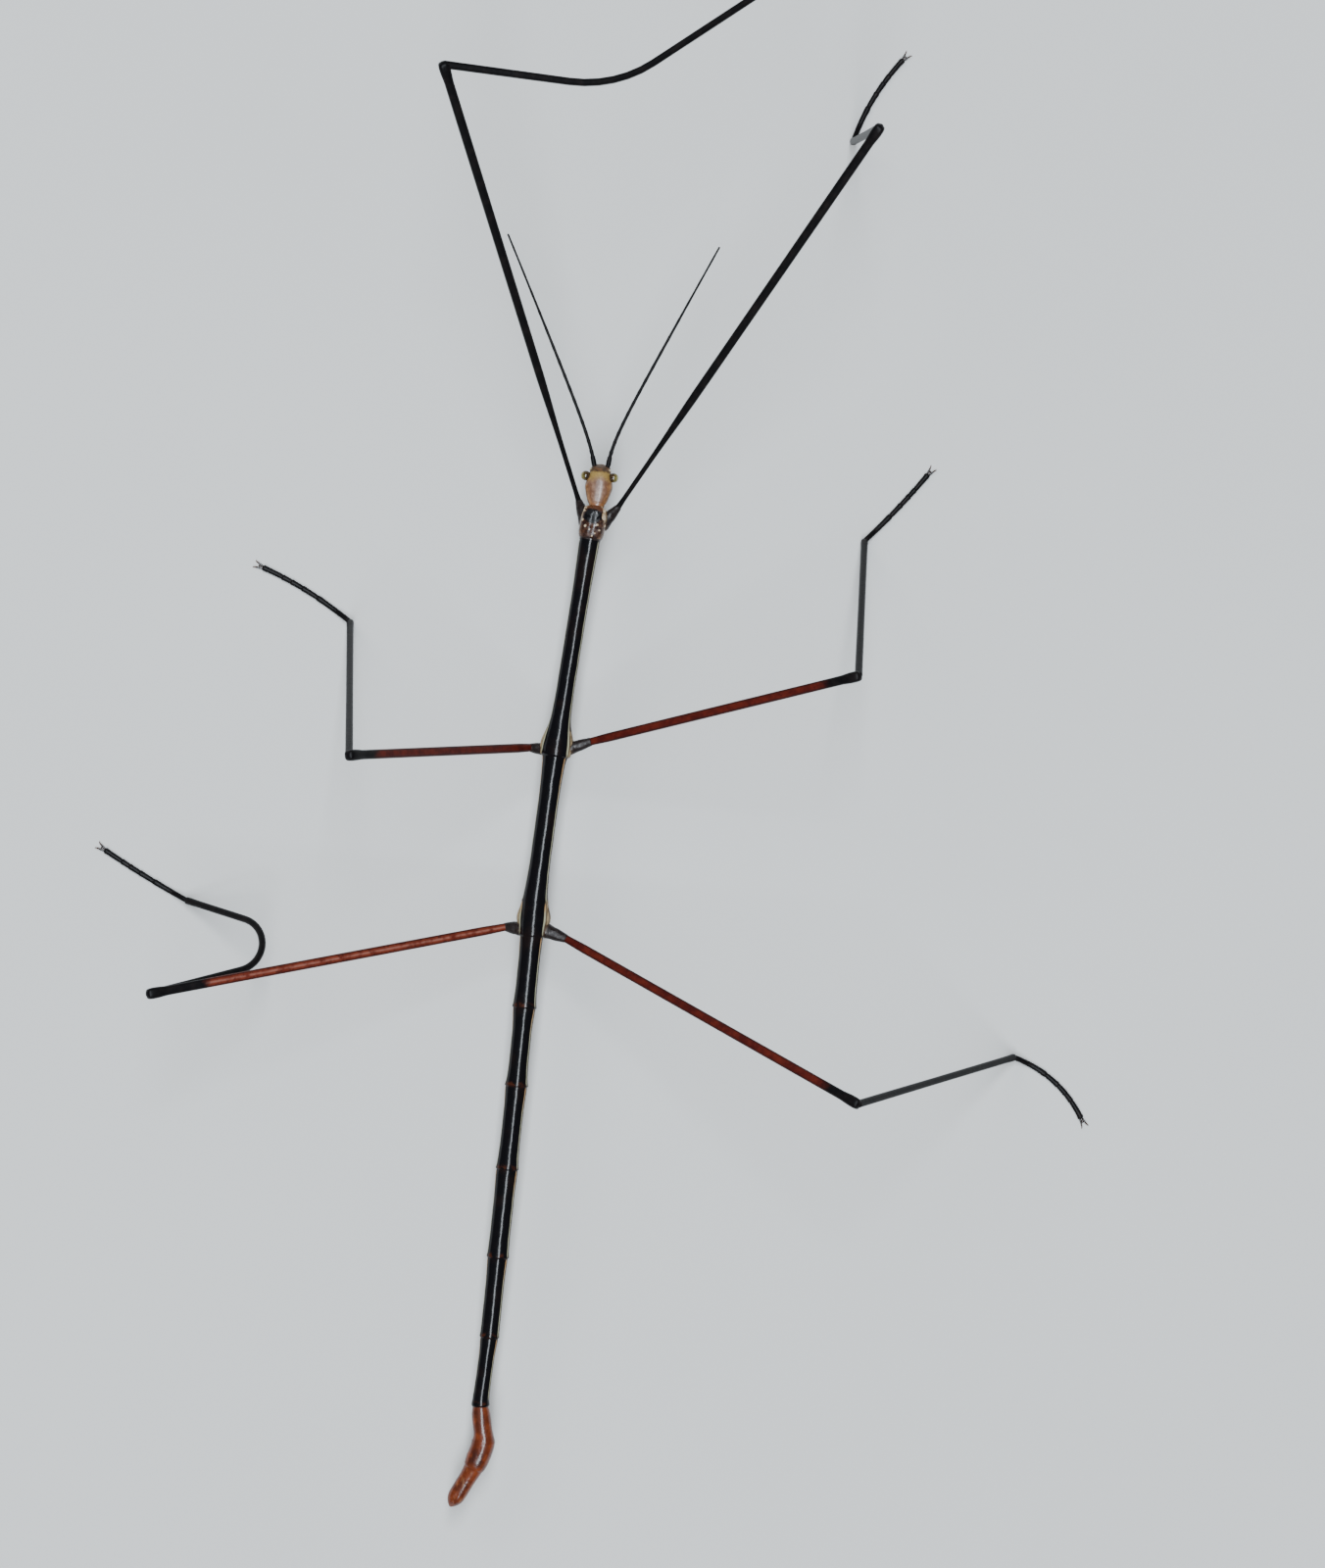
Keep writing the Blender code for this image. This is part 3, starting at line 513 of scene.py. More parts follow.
def head_shell():
    """Head capsule, with hollows round the eyes, knobs at the feelers, and the neck."""
    front, way, side, _ = head_frame()
    along = np.arange(0.0, HEAD_LENGTH + NECK_REACH, HEAD_STEP)
    share = along / HEAD_LENGTH
    centres = np.array(front) + np.array(way) * along[:, None]
    inside = 1.0 - 0.45 * ramp(share, 1.0, 1.0 + NECK_REACH / HEAD_LENGTH)
    nose = np.sqrt(np.clip(share / 0.03, 0.02, 1.0))
    half, top, bottom = (blurred(eased([(row[0], row[k]) for row in HEAD_SECTIONS], share), 3.0)
                         * inside * nose for k in (1, 2, 3))
    ways = np.broadcast_to(np.array(way), centres.shape)
    points, outward, shares = rings(centres, ways, side, half, top, bottom, HEAD_AROUND,
                                    TRUNK_POWER)
    angle = ring_angles(shares)[None, :]
    s, flank = share[:, None], np.abs(angle)
    knob = humps(KNOBS, s, flank)
    relief = humps(HEAD_HUMPS, s, flank) + bands(HEAD_BANDS, s, flank) + KNOB_HEIGHT * knob
    relief -= 0.05 * bell(s, 0.965, 0.02)
    points = points + outward * relief[..., None]
    marks = dict(shares, along=s, knob=np.clip(1.6 * knob - 0.4, 0.0, 1.0))
    return Shell("head", points, marks, np.full(len(along), SLOT["head"]))


def tube_shell(name, centres, radii, marks, slot, around, power=2.0, level=(0.0, 0.0, 1.0)):
    """Round or boxy shell along a row of centres."""
    points, _, shares = rings(centres, ways_along(centres), level, radii, radii, radii, around, power)
    return Shell(name, points, dict(shares, **marks), np.full(len(centres), SLOT[slot]))


def closed(run, radii, reach):
    """Radii that shrink to a rounded end at both ends of a running length."""
    near = np.minimum(run, run[-1] - run)
    return radii * dome(near / reach)


# mouth parts by points behind the head's front, to the right and up, with their half widths at the
# root and the end and their half thickness; a part off the middle is mirrored
MOUTH_PLATES = (
    ("clypeus", ((0.30, 0.0, 0.02), (-0.08, 0.0, -0.28), (-0.13, 0.0, -0.80)), (0.50, 0.47), 0.20),
    ("lip", ((0.02, 0.0, -0.62), (-0.15, 0.0, -0.98), (0.0, 0.0, -1.44)), (0.44, 0.33), 0.14),
    ("jaw", ((0.65, 0.56, -0.45), (0.12, 0.56, -0.85), (0.04, 0.24, -1.42)), (0.40, 0.20), 0.34),
    ("throat", ((1.60, 0.0, -0.48), (0.75, 0.0, -0.98), (0.34, 0.0, -1.38)), (0.70, 0.52), 0.38),
)
PALPS = (
    ("palp", ((0.55, 0.62, -0.95), (0.05, 0.80, -1.25), (-0.34, 0.72, -1.38), (-0.56, 0.46, -1.62)), 0.10),
    ("palp_low", ((0.35, 0.26, -1.25), (-0.05, 0.32, -1.52), (-0.26, 0.24, -1.78)), 0.08),
)
PALP_JOINT = 0.42          # length of a palp's joints


def mirrored(name, points):
    """A part of the mouth, or its left and right halves when it lies beside the middle."""
    if points[0][1] == 0.0:
        return [(name, points)]
    left = tuple((along, -across, rise) for along, across, rise in points)
    return [(f"{name}_left", left), (f"{name}_right", points)]


def mouth_shells():
    """Face plate, lip, jaws and throat under the front of the head, and the four jointed palps."""
    shells = []
    side = head_frame()[2]
    for plate, row, ends, thickness in MOUTH_PLATES:
        for name, points in mirrored(plate, row):
            centres, run = evenly(rounded([in_head(*point) for point in points], [0.3]), 0.03)
            half = closed(run, ends[0] + (ends[1] - ends[0]) * run / run[-1], 0.24)
            deep = closed(run, np.full(len(run), thickness), 0.18)
            shape, _, shares = rings(centres, ways_along(centres), side, half, deep, deep, 40, 2.4)
            shells.append(Shell(name, shape, dict(shares, along=0.1), np.full(len(run), SLOT["head"])))
    for palp, row, radius in PALPS:
        for name, points in mirrored(palp, row):
            corners = [in_head(*point) for point in points]
            centres, run = evenly(rounded(corners, [0.2] * (len(corners) - 2)), 0.025)
            joints = 1.0 + 0.16 * np.cos(2.0 * math.pi * run / PALP_JOINT)
            radii = closed(run, (radius - 0.02 * run / run[-1]) * joints, 0.07)
            shells.append(tube_shell(name, centres, radii, {"along": 0.1}, "head", 16))
    return shells


# ---- feeler skin
def feeler_shell(name, sign, first, last):
    """A feeler: a stout first joint, a short second one and a whip of many slim ones."""
    root = in_head(-0.16, FEELER_SIDE * sign, FEELER_LIFT)
    step = FEELER_LENGTH / FEELER_STEPS
    points = [in_head(0.25, FEELER_SIDE * sign * 0.9, FEELER_LIFT - 0.05), root]
    for index in range(FEELER_STEPS):
        along = index * step
        azimuth = last + (first - last) * math.exp(-along / FEELER_SETTLE)
        rise = FEELER_RISE[0] + (FEELER_RISE[1] - FEELER_RISE[0]) * along / FEELER_LENGTH
        points.append(points[-1] + heading(azimuth, rise) * step)
    centres, run = evenly(points, 0.06)
    pitch = 0.85 + 0.03 * run
    whip = ramp(run, WHIP_START, WHIP_START + 0.3)
    joints = 1.0 + 0.10 * whip * np.abs(np.cos(math.pi * (run - WHIP_START) / pitch)) ** 6
    radii = closed(run, eased(FEELER_RADII, run) * joints, 0.12)
    return tube_shell(f"feeler_{name}", centres, radii, {"along": (run / run[-1])[:, None]}, "leg", 20)


# ---- leg skin
# root of the coxa outside the body's side and under its axis, and its radii from root to end
COXA_ROOT = {"fore": (-0.80, 0.40), "mid": (-0.45, 0.35), "hind": (-0.45, 0.35)}
COXA_BEHIND = {"fore": 0.0, "mid": 0.3, "hind": 0.3}    # station of that root, behind the leg's own
COXA_RADII = {"fore": (0.90, 0.62, 0.36), "mid": (0.76, 0.58, 0.42), "hind": (0.92, 0.66, 0.44)}
COXA_ROUNDING = 0.85       # length over which the root of a coxa rounds off
FEMUR_RADII = {"fore": ((0.0, 0.30), (0.03, 0.25), (0.12, 0.26), (0.32, 0.43), (1.0, 0.46)),
               "mid": ((0.0, 0.40), (0.08, 0.46), (1.0, 0.46)),
               "hind": ((0.0, 0.40), (0.08, 0.46), (1.0, 0.47))}
KNEE_SWELL = 0.09          # rise of a femur's end over its shaft
SPUR_FOOT = 0.42           # distance from the trochanter's axis as a share of its radius
SPUR_POINT = 0.46          # distance from that axis
SPUR_AHEAD = Vector((0.0, 1.0, 0.35))
TIBIA_RADII = (0.39, 0.36, 0.39)
BLACK_REACH = {"fore_left": 60.0, "fore_right": 60.0, "mid_left": 3.6, "mid_right": 3.6,
               "hind_left": 6.0, "hind_right": 3.8}
TARSOMERES = (0.42, 0.16, 0.12, 0.09, 0.21)    # shares of the foot's length
TARSOMERE_RADII = ((0.0, 0.25), (0.12, 0.28), (0.7, 0.29), (0.93, 0.32), (1.0, 0.26))
RAISED_FOOT = (18.0, 30.0)     # its droop at the ankle, and what is added by the claws
LEG_AROUND = 32
COXA_POWER, FEMUR_POWER, TIBIA_POWER = 2.3, 3.2, 2.6     # boxiness of their cross sections


def trunk_place(station, outside, under, side):
    """Point beside the body at a station."""
    centre = Vector(trunk_axis(np.array([station]))[0])
    number = int(np.searchsorted(JOINTS, station, side="right")) - 1
    way = backward(SEGMENTS[number].yaw, SEGMENTS[number].droop)
    right = rolled_side(way, TRUNK_ROLL)
    beside = trunk_widths([station])[0][0] / 2.0 + outside
    return centre + right * (side * beside) - way.cross(right) * under


def shin_points(leg, knee):
    """Path of a shin in plan, bowed where it is malformed, falling evenly to the ankle."""
    length, *stretches = leg.tibia
    drop = leg.drop if leg.drop is not None else knee.z - ANKLE_HEIGHT
    level = math.sqrt(length ** 2 - drop ** 2)
    corners = [Vector((knee.x, knee.y, 0.0))]
    for share, azimuth in stretches:
        corners.append(corners[-1] + heading(azimuth, 0.0) * (level * share))
    plan = corners
    if len(stretches) > 1:
        turn = math.radians(stretches[1][1] - stretches[0][1])
        spare = 2.0 * leg.bow * math.tan(turn / 2.0) - leg.bow * turn
        corners[1:] = [corner + heading(stretches[0][1], 0.0) * (spare / 2.0) for corner in corners[1:]]
        corners[2] += heading(stretches[1][1], 0.0) * (spare / 2.0)
        plan = rounded(corners, [leg.bow])
    run = [0.0]
    for a, b in zip(plan, plan[1:]):
        run.append(run[-1] + (b - a).length)
    return [Vector((p.x, p.y, knee.z - drop * along / run[-1])) for p, along in zip(plan, run)]


def foot_points(leg, ankle):
    """Path of a foot: down from the ankle to the sole, then along the floor in a gentle curve."""
    length, first, last = leg.tarsus
    points = [ankle]
    step = length / TARSUS_STEPS
    for index in range(TARSUS_STEPS):
        share = (index + 0.5) / TARSUS_STEPS
        way = heading(first + (last - first) * share, 0.0)
        if leg.drop is None:
            target = SOLE_HEIGHT + (ankle.z - SOLE_HEIGHT) * max(0.0, 1.0 - share / SETTLE_SHARE)
            move = way * step
            move.z = target - points[-1].z
        else:
            move = heading(first + (last - first) * share, -RAISED_FOOT[0] - RAISED_FOOT[1] * share) * step
        points.append(points[-1] + move)
    return points


def coxa_shell(leg, group, trochanter, level):
    """Root of a leg, from inside the body to the trochanter."""
    outside, under = COXA_ROOT[group]
    root = trunk_place(leg.station + COXA_BEHIND[group], outside, under, leg.side)
    centres, run = evenly([root, trochanter + (trochanter - root).normalized() * 0.25], 0.06)
    first, middle, last = COXA_RADII[group]
    radii = eased(((0.0, first), (0.5, middle), (1.0, last)), run / run[-1]) * dome(run / COXA_ROUNDING)
    return tube_shell(f"coxa_{leg.name}", centres, closed(run, radii, 0.3),
                      {"along": (run / run[-1])[:, None]}, "coxa", LEG_AROUND, COXA_POWER, level)


def trochanter_shell(leg, trochanter, aim, radius, level):
    """Short ring between the coxa and the femur."""
    centres, run = evenly([trochanter - aim * 0.45, trochanter + aim * 0.22], 0.04)
    radii = eased(((0.0, radius * 0.9), (0.5, radius), (1.0, radius * 0.94)), run / run[-1])
    return tube_shell(f"trochanter_{leg.name}", centres, closed(run, radii, 0.16),
                      {"along": 1.0}, "coxa", LEG_AROUND, COXA_POWER, level)


def femur_shell(leg, group, trochanter, knee, aim, level):
    """Boxy femur with a swollen end, red from its root to near the knee; the hind-left one is marked for
    painted light.
    """
    centres, run = evenly([trochanter - aim * 0.15, knee + aim * 0.30], 0.14)
    tail = run[-1] - run
    radii = eased(FEMUR_RADII[group], run / run[-1])
    radii += KNEE_SWELL * (1.0 - ramp(tail, 0.9, 2.4)) - 0.05 * bell(tail, 0.2, 0.25)
    red = ramp(tail, BLACK_REACH[leg.name] - 1.4, BLACK_REACH[leg.name] + 2.2)
    # painted light: the hind-left femur is marked to take a lighter red and a painted highlight streak
    marks = {"along": run[:, None], "red": red[:, None], "bright": float(leg.name == "hind_left")}
    return tube_shell(f"femur_{leg.name}", centres, closed(run, radii, 0.28), marks, "leg",
                      LEG_AROUND, FEMUR_POWER, level)


def tibia_shell(leg, knee):
    """Slim tibia, and the point of the ankle at its end."""
    shin = shin_points(leg, knee)
    start = (shin[1] - shin[0]).normalized()
    centres, run = evenly([knee - start * 0.12] + shin[1:], 0.14)
    near, middle, far = TIBIA_RADII
    radii = eased(((0.0, near), (0.06, middle + 0.02), (0.5, middle), (0.94, middle), (1.0, far)),
                  run / run[-1])
    shell = tube_shell(f"tibia_{leg.name}", centres, closed(run, radii, 0.2),
                       {"along": run[:, None]}, "leg", LEG_AROUND, TIBIA_POWER)
    return shell, Vector(centres[-1])


def leg_shells(leg):
    """All parts of one leg, each reaching into the next, and the path of its foot."""
    group = leg.name.split("_")[0]
    trochanter = trunk_place(leg.station, leg.out, leg.sink, leg.side) + heading(*leg.coxa[1:]) * leg.coxa[0]
    aim = heading(*leg.femur[1:])
    knee = trochanter + aim * leg.femur[0]
    level = (-math.sin(math.radians(leg.femur[1])), math.cos(math.radians(leg.femur[1])), 0.0)
    end = COXA_RADII[group][-1]
    shells = [coxa_shell(leg, group, trochanter, level), trochanter_shell(leg, trochanter, aim, end, level)]
    if group != "fore":
        shells.append(spur_shell(leg, trochanter, aim, end))
    shells.append(femur_shell(leg, group, trochanter, knee, aim, level))
    tibia, ankle = tibia_shell(leg, knee)
    foot = foot_points(leg, ankle)
    return shells + [tibia, foot_shell(leg, foot)], foot


def spur_shell(leg, trochanter, aim, radius):
    """Small blunt tooth on the front of the trochanter."""
    ahead = (SPUR_AHEAD - aim * aim.dot(SPUR_AHEAD)).normalized()
    foot = trochanter - aim * 0.25 + ahead * (SPUR_FOOT * radius)
    point = trochanter - aim * 0.18 + ahead * SPUR_POINT
    centres, run = evenly([foot, point], 0.02)
    radii = closed(run, 0.20 - 0.09 * run / run[-1], 0.10)
    return tube_shell(f"spur_{leg.name}", centres, radii, {"along": 1.0}, "coxa", 16)


def foot_shell(leg, foot):
    """Five foot joints, each widest at its far end, flattened where they stand."""
    back = (foot[0] - foot[1]).normalized()
    centres, run = evenly([foot[0] + back * 0.15] + foot[1:], 0.05)
    share = run / run[-1]
    radii = np.full(len(run), 0.2)
    reached = 0.0
    for length in TARSOMERES:
        inner = np.clip((share - reached) / length, 0.0, 1.0)
        within = (share >= reached) & (share <= reached + length)
        radii = np.where(within, eased(TARSOMERE_RADII, inner), radii)
        reached += length
    way = foot[-1] - foot[-2]
    level = Vector((-way.y, way.x, 0.0)).normalized()
    shell = tube_shell(f"tarsus_{leg.name}", centres, closed(run, blurred(radii, 1.0), 0.12),
                       {"along": run[:, None]}, "leg", 24, 2.0, level)
    if leg.drop is None:
        shell.points[..., 2] = np.maximum(shell.points[..., 2], 0.004 * MM)
    return shell


# ---- separate pieces
CLAW_HEIGHT = 0.24         # of a standing foot's claws over the floor
CLAW_STEPS = 12
CLAW_REACH = 0.98 / math.sin(1.57)         # length: 0.98 where its arc is a quarter turn
CLAW_SWEEP = 1.75          # turn of that arc in radians
CLAW_SPREAD = (0.08, 0.34)                 # to the side at the root, and added by the point
CLAW_ARCH = (0.10, 0.13)                   # rise of the arch and fall of the point
EYE_ROWS, EYE_AROUND = 64, 96


def claw_points(leg, foot):
    """Root and direction of a pair of claws."""
    way = (foot[-1] - foot[-2]).normalized()
    root = foot[-1] - way * 0.05
    if leg.drop is None:
        root.z = CLAW_HEIGHT
    return root, way


def claw_shells(leg, foot):
    """Two curved claws that spread to the sides, and the small pad between them."""
    root, way = claw_points(leg, foot)
    side = Vector((-way.y, way.x, 0.0)).normalized()
    up = way.cross(side)
    shells = []
    for name, sign in (("inner", 1.0), ("outer", -1.0)):
        path = []
        for index in range(CLAW_STEPS + 1):
            t = index / CLAW_STEPS
            ahead = way * (CLAW_REACH * math.sin(t * CLAW_SWEEP))
            beside = side * (sign * (CLAW_SPREAD[0] + CLAW_SPREAD[1] * t ** 0.8))
            path.append(root + ahead + beside + up * (CLAW_ARCH[0] * math.sin(t * 3.0) - CLAW_ARCH[1] * t))
        centres, run = evenly(path, 0.03)
        radii = closed(run, 0.125 - 0.095 * (run / run[-1]) ** 1.3, 0.05)
        shells.append(tube_shell(f"claw_{name}", centres, radii, {"along": (run / run[-1])[:, None]},
                                 "leg", 16))
    centres, run = evenly([root - way * 0.15, root + way * 0.5], 0.03)
    radii = closed(run, 0.12 + 0.10 * run / run[-1], 0.18)
    shells.append(tube_shell("pad", centres, radii, {"along": 0.5}, "leg", 20))
    return shells


def eye_shell(name, sign):
    """Round bulging eye, sunk into the side of the head."""
    _, way, side, _ = head_frame()
    centre = in_head(EYE_SHARE * HEAD_LENGTH, EYE_SIDE * sign, EYE_LIFT)
    out = side * sign
    t = np.linspace(0.0, 1.0, EYE_ROWS)
    reach = EYE_RADII[1] * -np.cos(t * math.pi)
    centres = np.array(centre) + np.array(out) * reach[:, None]
    swell = np.clip(np.sin(t * math.pi), 0.02, 1.0) ** 0.92
    ways = np.broadcast_to(np.array(out), centres.shape)
    points, _, shares = rings(centres, ways, way, EYE_RADII[0] * swell, EYE_RADII[2] * swell,
                              EYE_RADII[2] * swell, EYE_AROUND, 2.0)
    return Shell(name, points, dict(shares, along=t[:, None]), np.full(len(t), 0))


def joined_by_union(name, shells, offset, materials):
    """One closed mesh from shells that reach into each other."""
    pieces = [shell_object(shell, offset, materials) for shell in shells]
    for piece in pieces:
        if outward_volume(piece) < 0.0:
            piece.data.flip_normals()
    first, *others = pieces
    helpers = bpy.data.collections.new(f"{name}_parts")
    for piece in others:
        helpers.objects.link(piece)
    if others:
        modifier = first.modifiers.new("union", "BOOLEAN")
        modifier.operation = "UNION"
        modifier.solver = "MANIFOLD"
        modifier.operand_type = "COLLECTION"
        modifier.collection = helpers
        modifier.material_mode = "INDEX"
    bpy.context.view_layer.update()
    graph = bpy.context.evaluated_depsgraph_get()
    mesh = bpy.data.meshes.new_from_object(first.evaluated_get(graph))
    for piece in pieces:
        bpy.data.objects.remove(piece, do_unlink=True)
    bpy.data.collections.remove(helpers)
    mesh.name = name
    mesh.shade_smooth()
    return added(name, mesh)


# ---- materials
class Paint:
    """A node material in the making, with short names for the nodes used here."""

    def __init__(self, name, roughness, specular=0.5, coat=0.0, coat_roughness=0.1):
        self.material = bpy.data.materials.new(name)
        self.material.use_nodes = True
        self.tree = self.material.node_tree
        self.shader = self.tree.nodes["Principled BSDF"]
        self.colour = None
        self.feed(self.shader, {"Roughness": roughness, "Specular IOR Level": specular,
                                "Coat Weight": coat, "Coat Roughness": coat_roughness})
        self.place = self.node("ShaderNodeTexCoord", {}).outputs["Object"]

    def feed(self, node, inputs):
        """Link or set a node's inputs, by name or number."""
        for key, value in inputs.items():
            if isinstance(value, bpy.types.NodeSocket):
                self.tree.links.new(value, node.inputs[key])
            else:
                node.inputs[key].default_value = (*value, 1.0) if isinstance(value, tuple) else value

    def node(self, kind, inputs, **settings):
        """New node with its settings and inputs."""
        made = self.tree.nodes.new(kind)
        for key, value in settings.items():
            setattr(made, key, value)
        self.feed(made, inputs)
        return made

    def math(self, operation, *values):
        """Result of a math node."""
        return self.node("ShaderNodeMath", dict(enumerate(values)), operation=operation).outputs[0]

    def mark(self, name):
        """A mark stored on the mesh."""
        return self.node("ShaderNodeAttribute", {}, attribute_name=name).outputs["Fac"]

    def angle(self):
        """Angle from the top, unsigned, in degrees."""
        turned = self.math("ARCTAN2", self.mark("across"), self.mark("rise"))
        return self.math("MULTIPLY", self.math("ABSOLUTE", turned), 180.0 / math.pi)

    def ramp(self, value, low, high):
        """Smooth step from zero at low to one at high."""
        inputs = {"Value": value, "From Min": min(low, high), "From Max": max(low, high)}
        made = self.node("ShaderNodeMapRange", inputs, interpolation_type="SMOOTHSTEP").outputs["Result"]
        return made if low < high else self.math("SUBTRACT", 1.0, made)

    def hump(self, value, middle, inner, outer):
        """One within inner of the middle, falling to zero at outer."""
        away = self.math("ABSOLUTE", self.math("SUBTRACT", value, middle))
        return self.ramp(away, outer, inner)

    def times(self, first, *others):
        """Product of several values."""
        for value in others:
            first = self.math("MULTIPLY", first, value)
        return first

    def mix(self, share, first, second):
        """Colour between two colours."""
        return self.node("ShaderNodeMix", {"Factor": share, "A": first, "B": second},
                         data_type="RGBA", clamp_factor=True).outputs["Result"]

    def noise(self, size, detail=2.0, rough=0.5, stretch=(1.0, 1.0, 1.0)):
        """Cloudy pattern whose grains are about size millimetres across."""
        inputs = {"Vector": self.scaled(size, stretch), "Scale": 1.0, "Detail": detail, "Roughness": rough}
        return self.node("ShaderNodeTexNoise", inputs).outputs["Fac"]

    def cells(self, size):
        """Distance pattern of cells about size millimetres across."""
        inputs = {"Vector": self.scaled(size, (1.0, 1.0, 1.0)), "Scale": 1.0}
        return self.node("ShaderNodeTexVoronoi", inputs).outputs["Distance"]

    def scaled(self, size, stretch):
        """Object coordinates counted in units of size millimetres."""
        units = [1.0 / (size * MM * part) for part in stretch]
        return self.node("ShaderNodeVectorMath", {0: self.place, 1: units},
                         operation="MULTIPLY").outputs["Vector"]

    def mottle(self, size, low, high, first, second, detail=4.0, rough=0.6,
               stretch=(1.0, 1.0, 1.0)):
        """Two colours in clouds about size millimetres across."""
        return self.mix(self.ramp(self.noise(size, detail, rough, stretch), low, high), first, second)

    def sway(self, size, detail=3.0):
        """Cloudy pattern about zero."""
        return self.math("SUBTRACT", self.noise(size, detail), 0.5)

    def fit(self, value, factor, offset):
        """A value times a factor, plus an offset."""
        return self.math("MULTIPLY_ADD", value, factor, offset)

    def layer(self, colour, tint, *shares):
        """A tint laid over a colour, as strong as the product of the shares."""
        return self.mix(self.times(*shares), colour, tint)

    def over(self, tint, *shares):
        """Lay a tint over the colour so far."""
        self.colour = self.layer(self.colour, tint, *shares)

    def grain(self, size, depth, under=None):
        """Surface normal for grains of a size and depth in millimetres."""
        return self.bump(self.noise(size), depth, under)

    def bump(self, height, depth, under=None):
        """Surface normal for a relief of depth millimetres, over another one if it is given."""
        inputs = {"Distance": depth * MM, "Height": height}
        if under is not None:
            inputs["Normal"] = under
        return self.node("ShaderNodeBump", inputs).outputs["Normal"]

    def finish(self, normal, roughness=None):
        """Connect the results and hand over the material."""
        self.feed(self.shader, {"Base Color": self.colour, "Normal": normal})
        if roughness is not None:
            self.feed(self.shader, {"Roughness": roughness})
        return self.material


JET = (0.0035, 0.0033, 0.0042)
DARK_BROWN = (0.020, 0.009, 0.006)
CREAM = (0.33, 0.32, 0.21)
WARM_CREAM = (0.44, 0.22, 0.070)
RUST = (0.088, 0.016, 0.005)
DEEP_RED = (0.044, 0.005, 0.004)
# painted light: a lighter copy of the femur red for the hind-left femur, where the light falls
PAINTED_LIT_RED = (0.090, 0.013, 0.007)
# dark patches of the tail: station, reach along the body and strength
TAIL_SHADOWS = ((93.4, 1.3, 0.6), (97.6, 0.9, 0.85), (100.9, 1.0, 0.5))


def black_paint():
    """Jet black trunk with its side lines, brown hind rims and beige flanks."""
    p = Paint("black_shell", 0.2, specular=0.22)
    angle = p.fit(p.sway(1.3, 2.0), 4.0, p.angle())
    p.colour = p.layer(JET, DARK_BROWN, p.ramp(p.noise(2.4, 3.0), 0.50, 0.78), 0.3)
    p.over((0.026, 0.014, 0.008), p.ramp(angle, 72.0, 80.0))
    p.over((0.052, 0.030, 0.017), p.ramp(angle, 100.0, 128.0), 0.85)
    p.over((0.060, 0.016, 0.007), p.mark("rim"), p.ramp(p.noise(0.5, 3.0), 0.42, 0.62),
           p.ramp(angle, 66.0, 40.0), 0.7)
    flank = p.mottle(0.26, 0.36, 0.66, (0.115, 0.072, 0.036), (0.33, 0.25, 0.145), 3.0,
                     stretch=(1.0, 4.5, 1.0))
    furrow = p.math("MAXIMUM", p.hump(angle, 76.0, 1.0, 4.5), p.hump(angle, 90.0, 1.0, 4.5))
    flank = p.layer(flank, (0.040, 0.025, 0.014), furrow, 0.75)
    p.over((0.085, 0.034, 0.010), p.hump(angle, 71.0, 1.5, 6.0),
           p.ramp(p.mark("line"), 0.2, 0.8), 0.6)
    p.over(flank, p.mark("lobe"))
    line = p.times(p.hump(angle, LINE_ANGLE, 2.4, 4.8), p.mark("line"))
    tint = p.layer(CREAM, WARM_CREAM, p.mark("warm"), 0.9)
    tint = p.layer(tint, (0.17, 0.14, 0.075), p.ramp(p.noise(0.8), 0.50, 0.75), 0.4)
    p.over(tint, line)
    normal = p.grain(1.5, 0.034, p.grain(0.45, 0.010, p.grain(0.16, 0.0022)))
    rough = p.math("MAXIMUM", p.fit(p.noise(0.6, 3.0), 0.14, 0.10),
                   p.times(p.math("MAXIMUM", p.mark("lobe"), line), 0.5))
    return p.finish(normal, rough)


def pronotum_paint():
    """First body ring: glossy black panel in front, mottled brown around it, cream spots and corners; some
    of the pale spots are a painted highlight.
    """
    p = Paint("first_ring_shell", 0.22, specular=0.45)
    along, angle = p.mark("along"), p.angle()
    sway = p.sway(0.7)
    turned, drift = p.fit(sway, 60.0, angle), p.fit(sway, 1.4, along)
    middle = p.mottle(0.42, 0.36, 0.66, (0.016, 0.006, 0.005), (0.062, 0.027, 0.016))
    sides = p.mottle(0.35, 0.35, 0.68, (0.040, 0.018, 0.010), (0.155, 0.080, 0.042))
    p.colour = p.layer(middle, sides, p.ramp(turned, 40.0, 62.0))
    lengthwise = p.math("DIVIDE", p.math("SUBTRACT", p.fit(sway, 0.9, along), 0.88), 0.74)
    sideways = p.math("DIVIDE", p.fit(sway, 40.0, angle), 41.0)
    away = p.math("ADD", *(p.math("POWER", p.math("ABSOLUTE", share), 2.6)
                           for share in (lengthwise, sideways)))
    p.over((0.0030, 0.0027, 0.0036), p.ramp(away, 1.25, 0.80))
    corner = p.times(p.ramp(drift, 1.5, 0.9), p.hump(turned, 64.0, 9.0, 20.0))
    cream = p.mottle(0.2, 0.4, 0.65, (0.30, 0.17, 0.075), (0.58, 0.47, 0.30), 3.0, 0.5)
    p.over(cream, corner, 0.8)
    # pale spots: mostly cream tubercles, with one arc of them near the hind edge that is a painted highlight
    ragged = p.math("SUBTRACT", p.noise(0.16, 3.0, 0.6), 0.5)
    spots = p.ramp(p.fit(ragged, 1.1, p.mark("spot")), 0.30, 0.80)
    p.over(p.mix(p.noise(0.15), cream, (0.60, 0.50, 0.36)), spots, 0.9)
    p.over((0.120, 0.040, 0.015), p.ramp(along, 0.28, 0.02), p.ramp(angle, 56.0, 42.0),
           0.75)
    p.over((0.012, 0.006, 0.005), p.ramp(along, 3.0, 3.2))
    p.over((0.060, 0.036, 0.020), p.ramp(angle, 92.0, 120.0))
    normal = p.grain(0.20, 0.008, p.bump(p.noise(0.55, 2.0, 0.4), 0.060))
    return p.finish(normal, p.fit(p.ramp(p.noise(0.5), 0.40, 0.62), 0.26, 0.18))


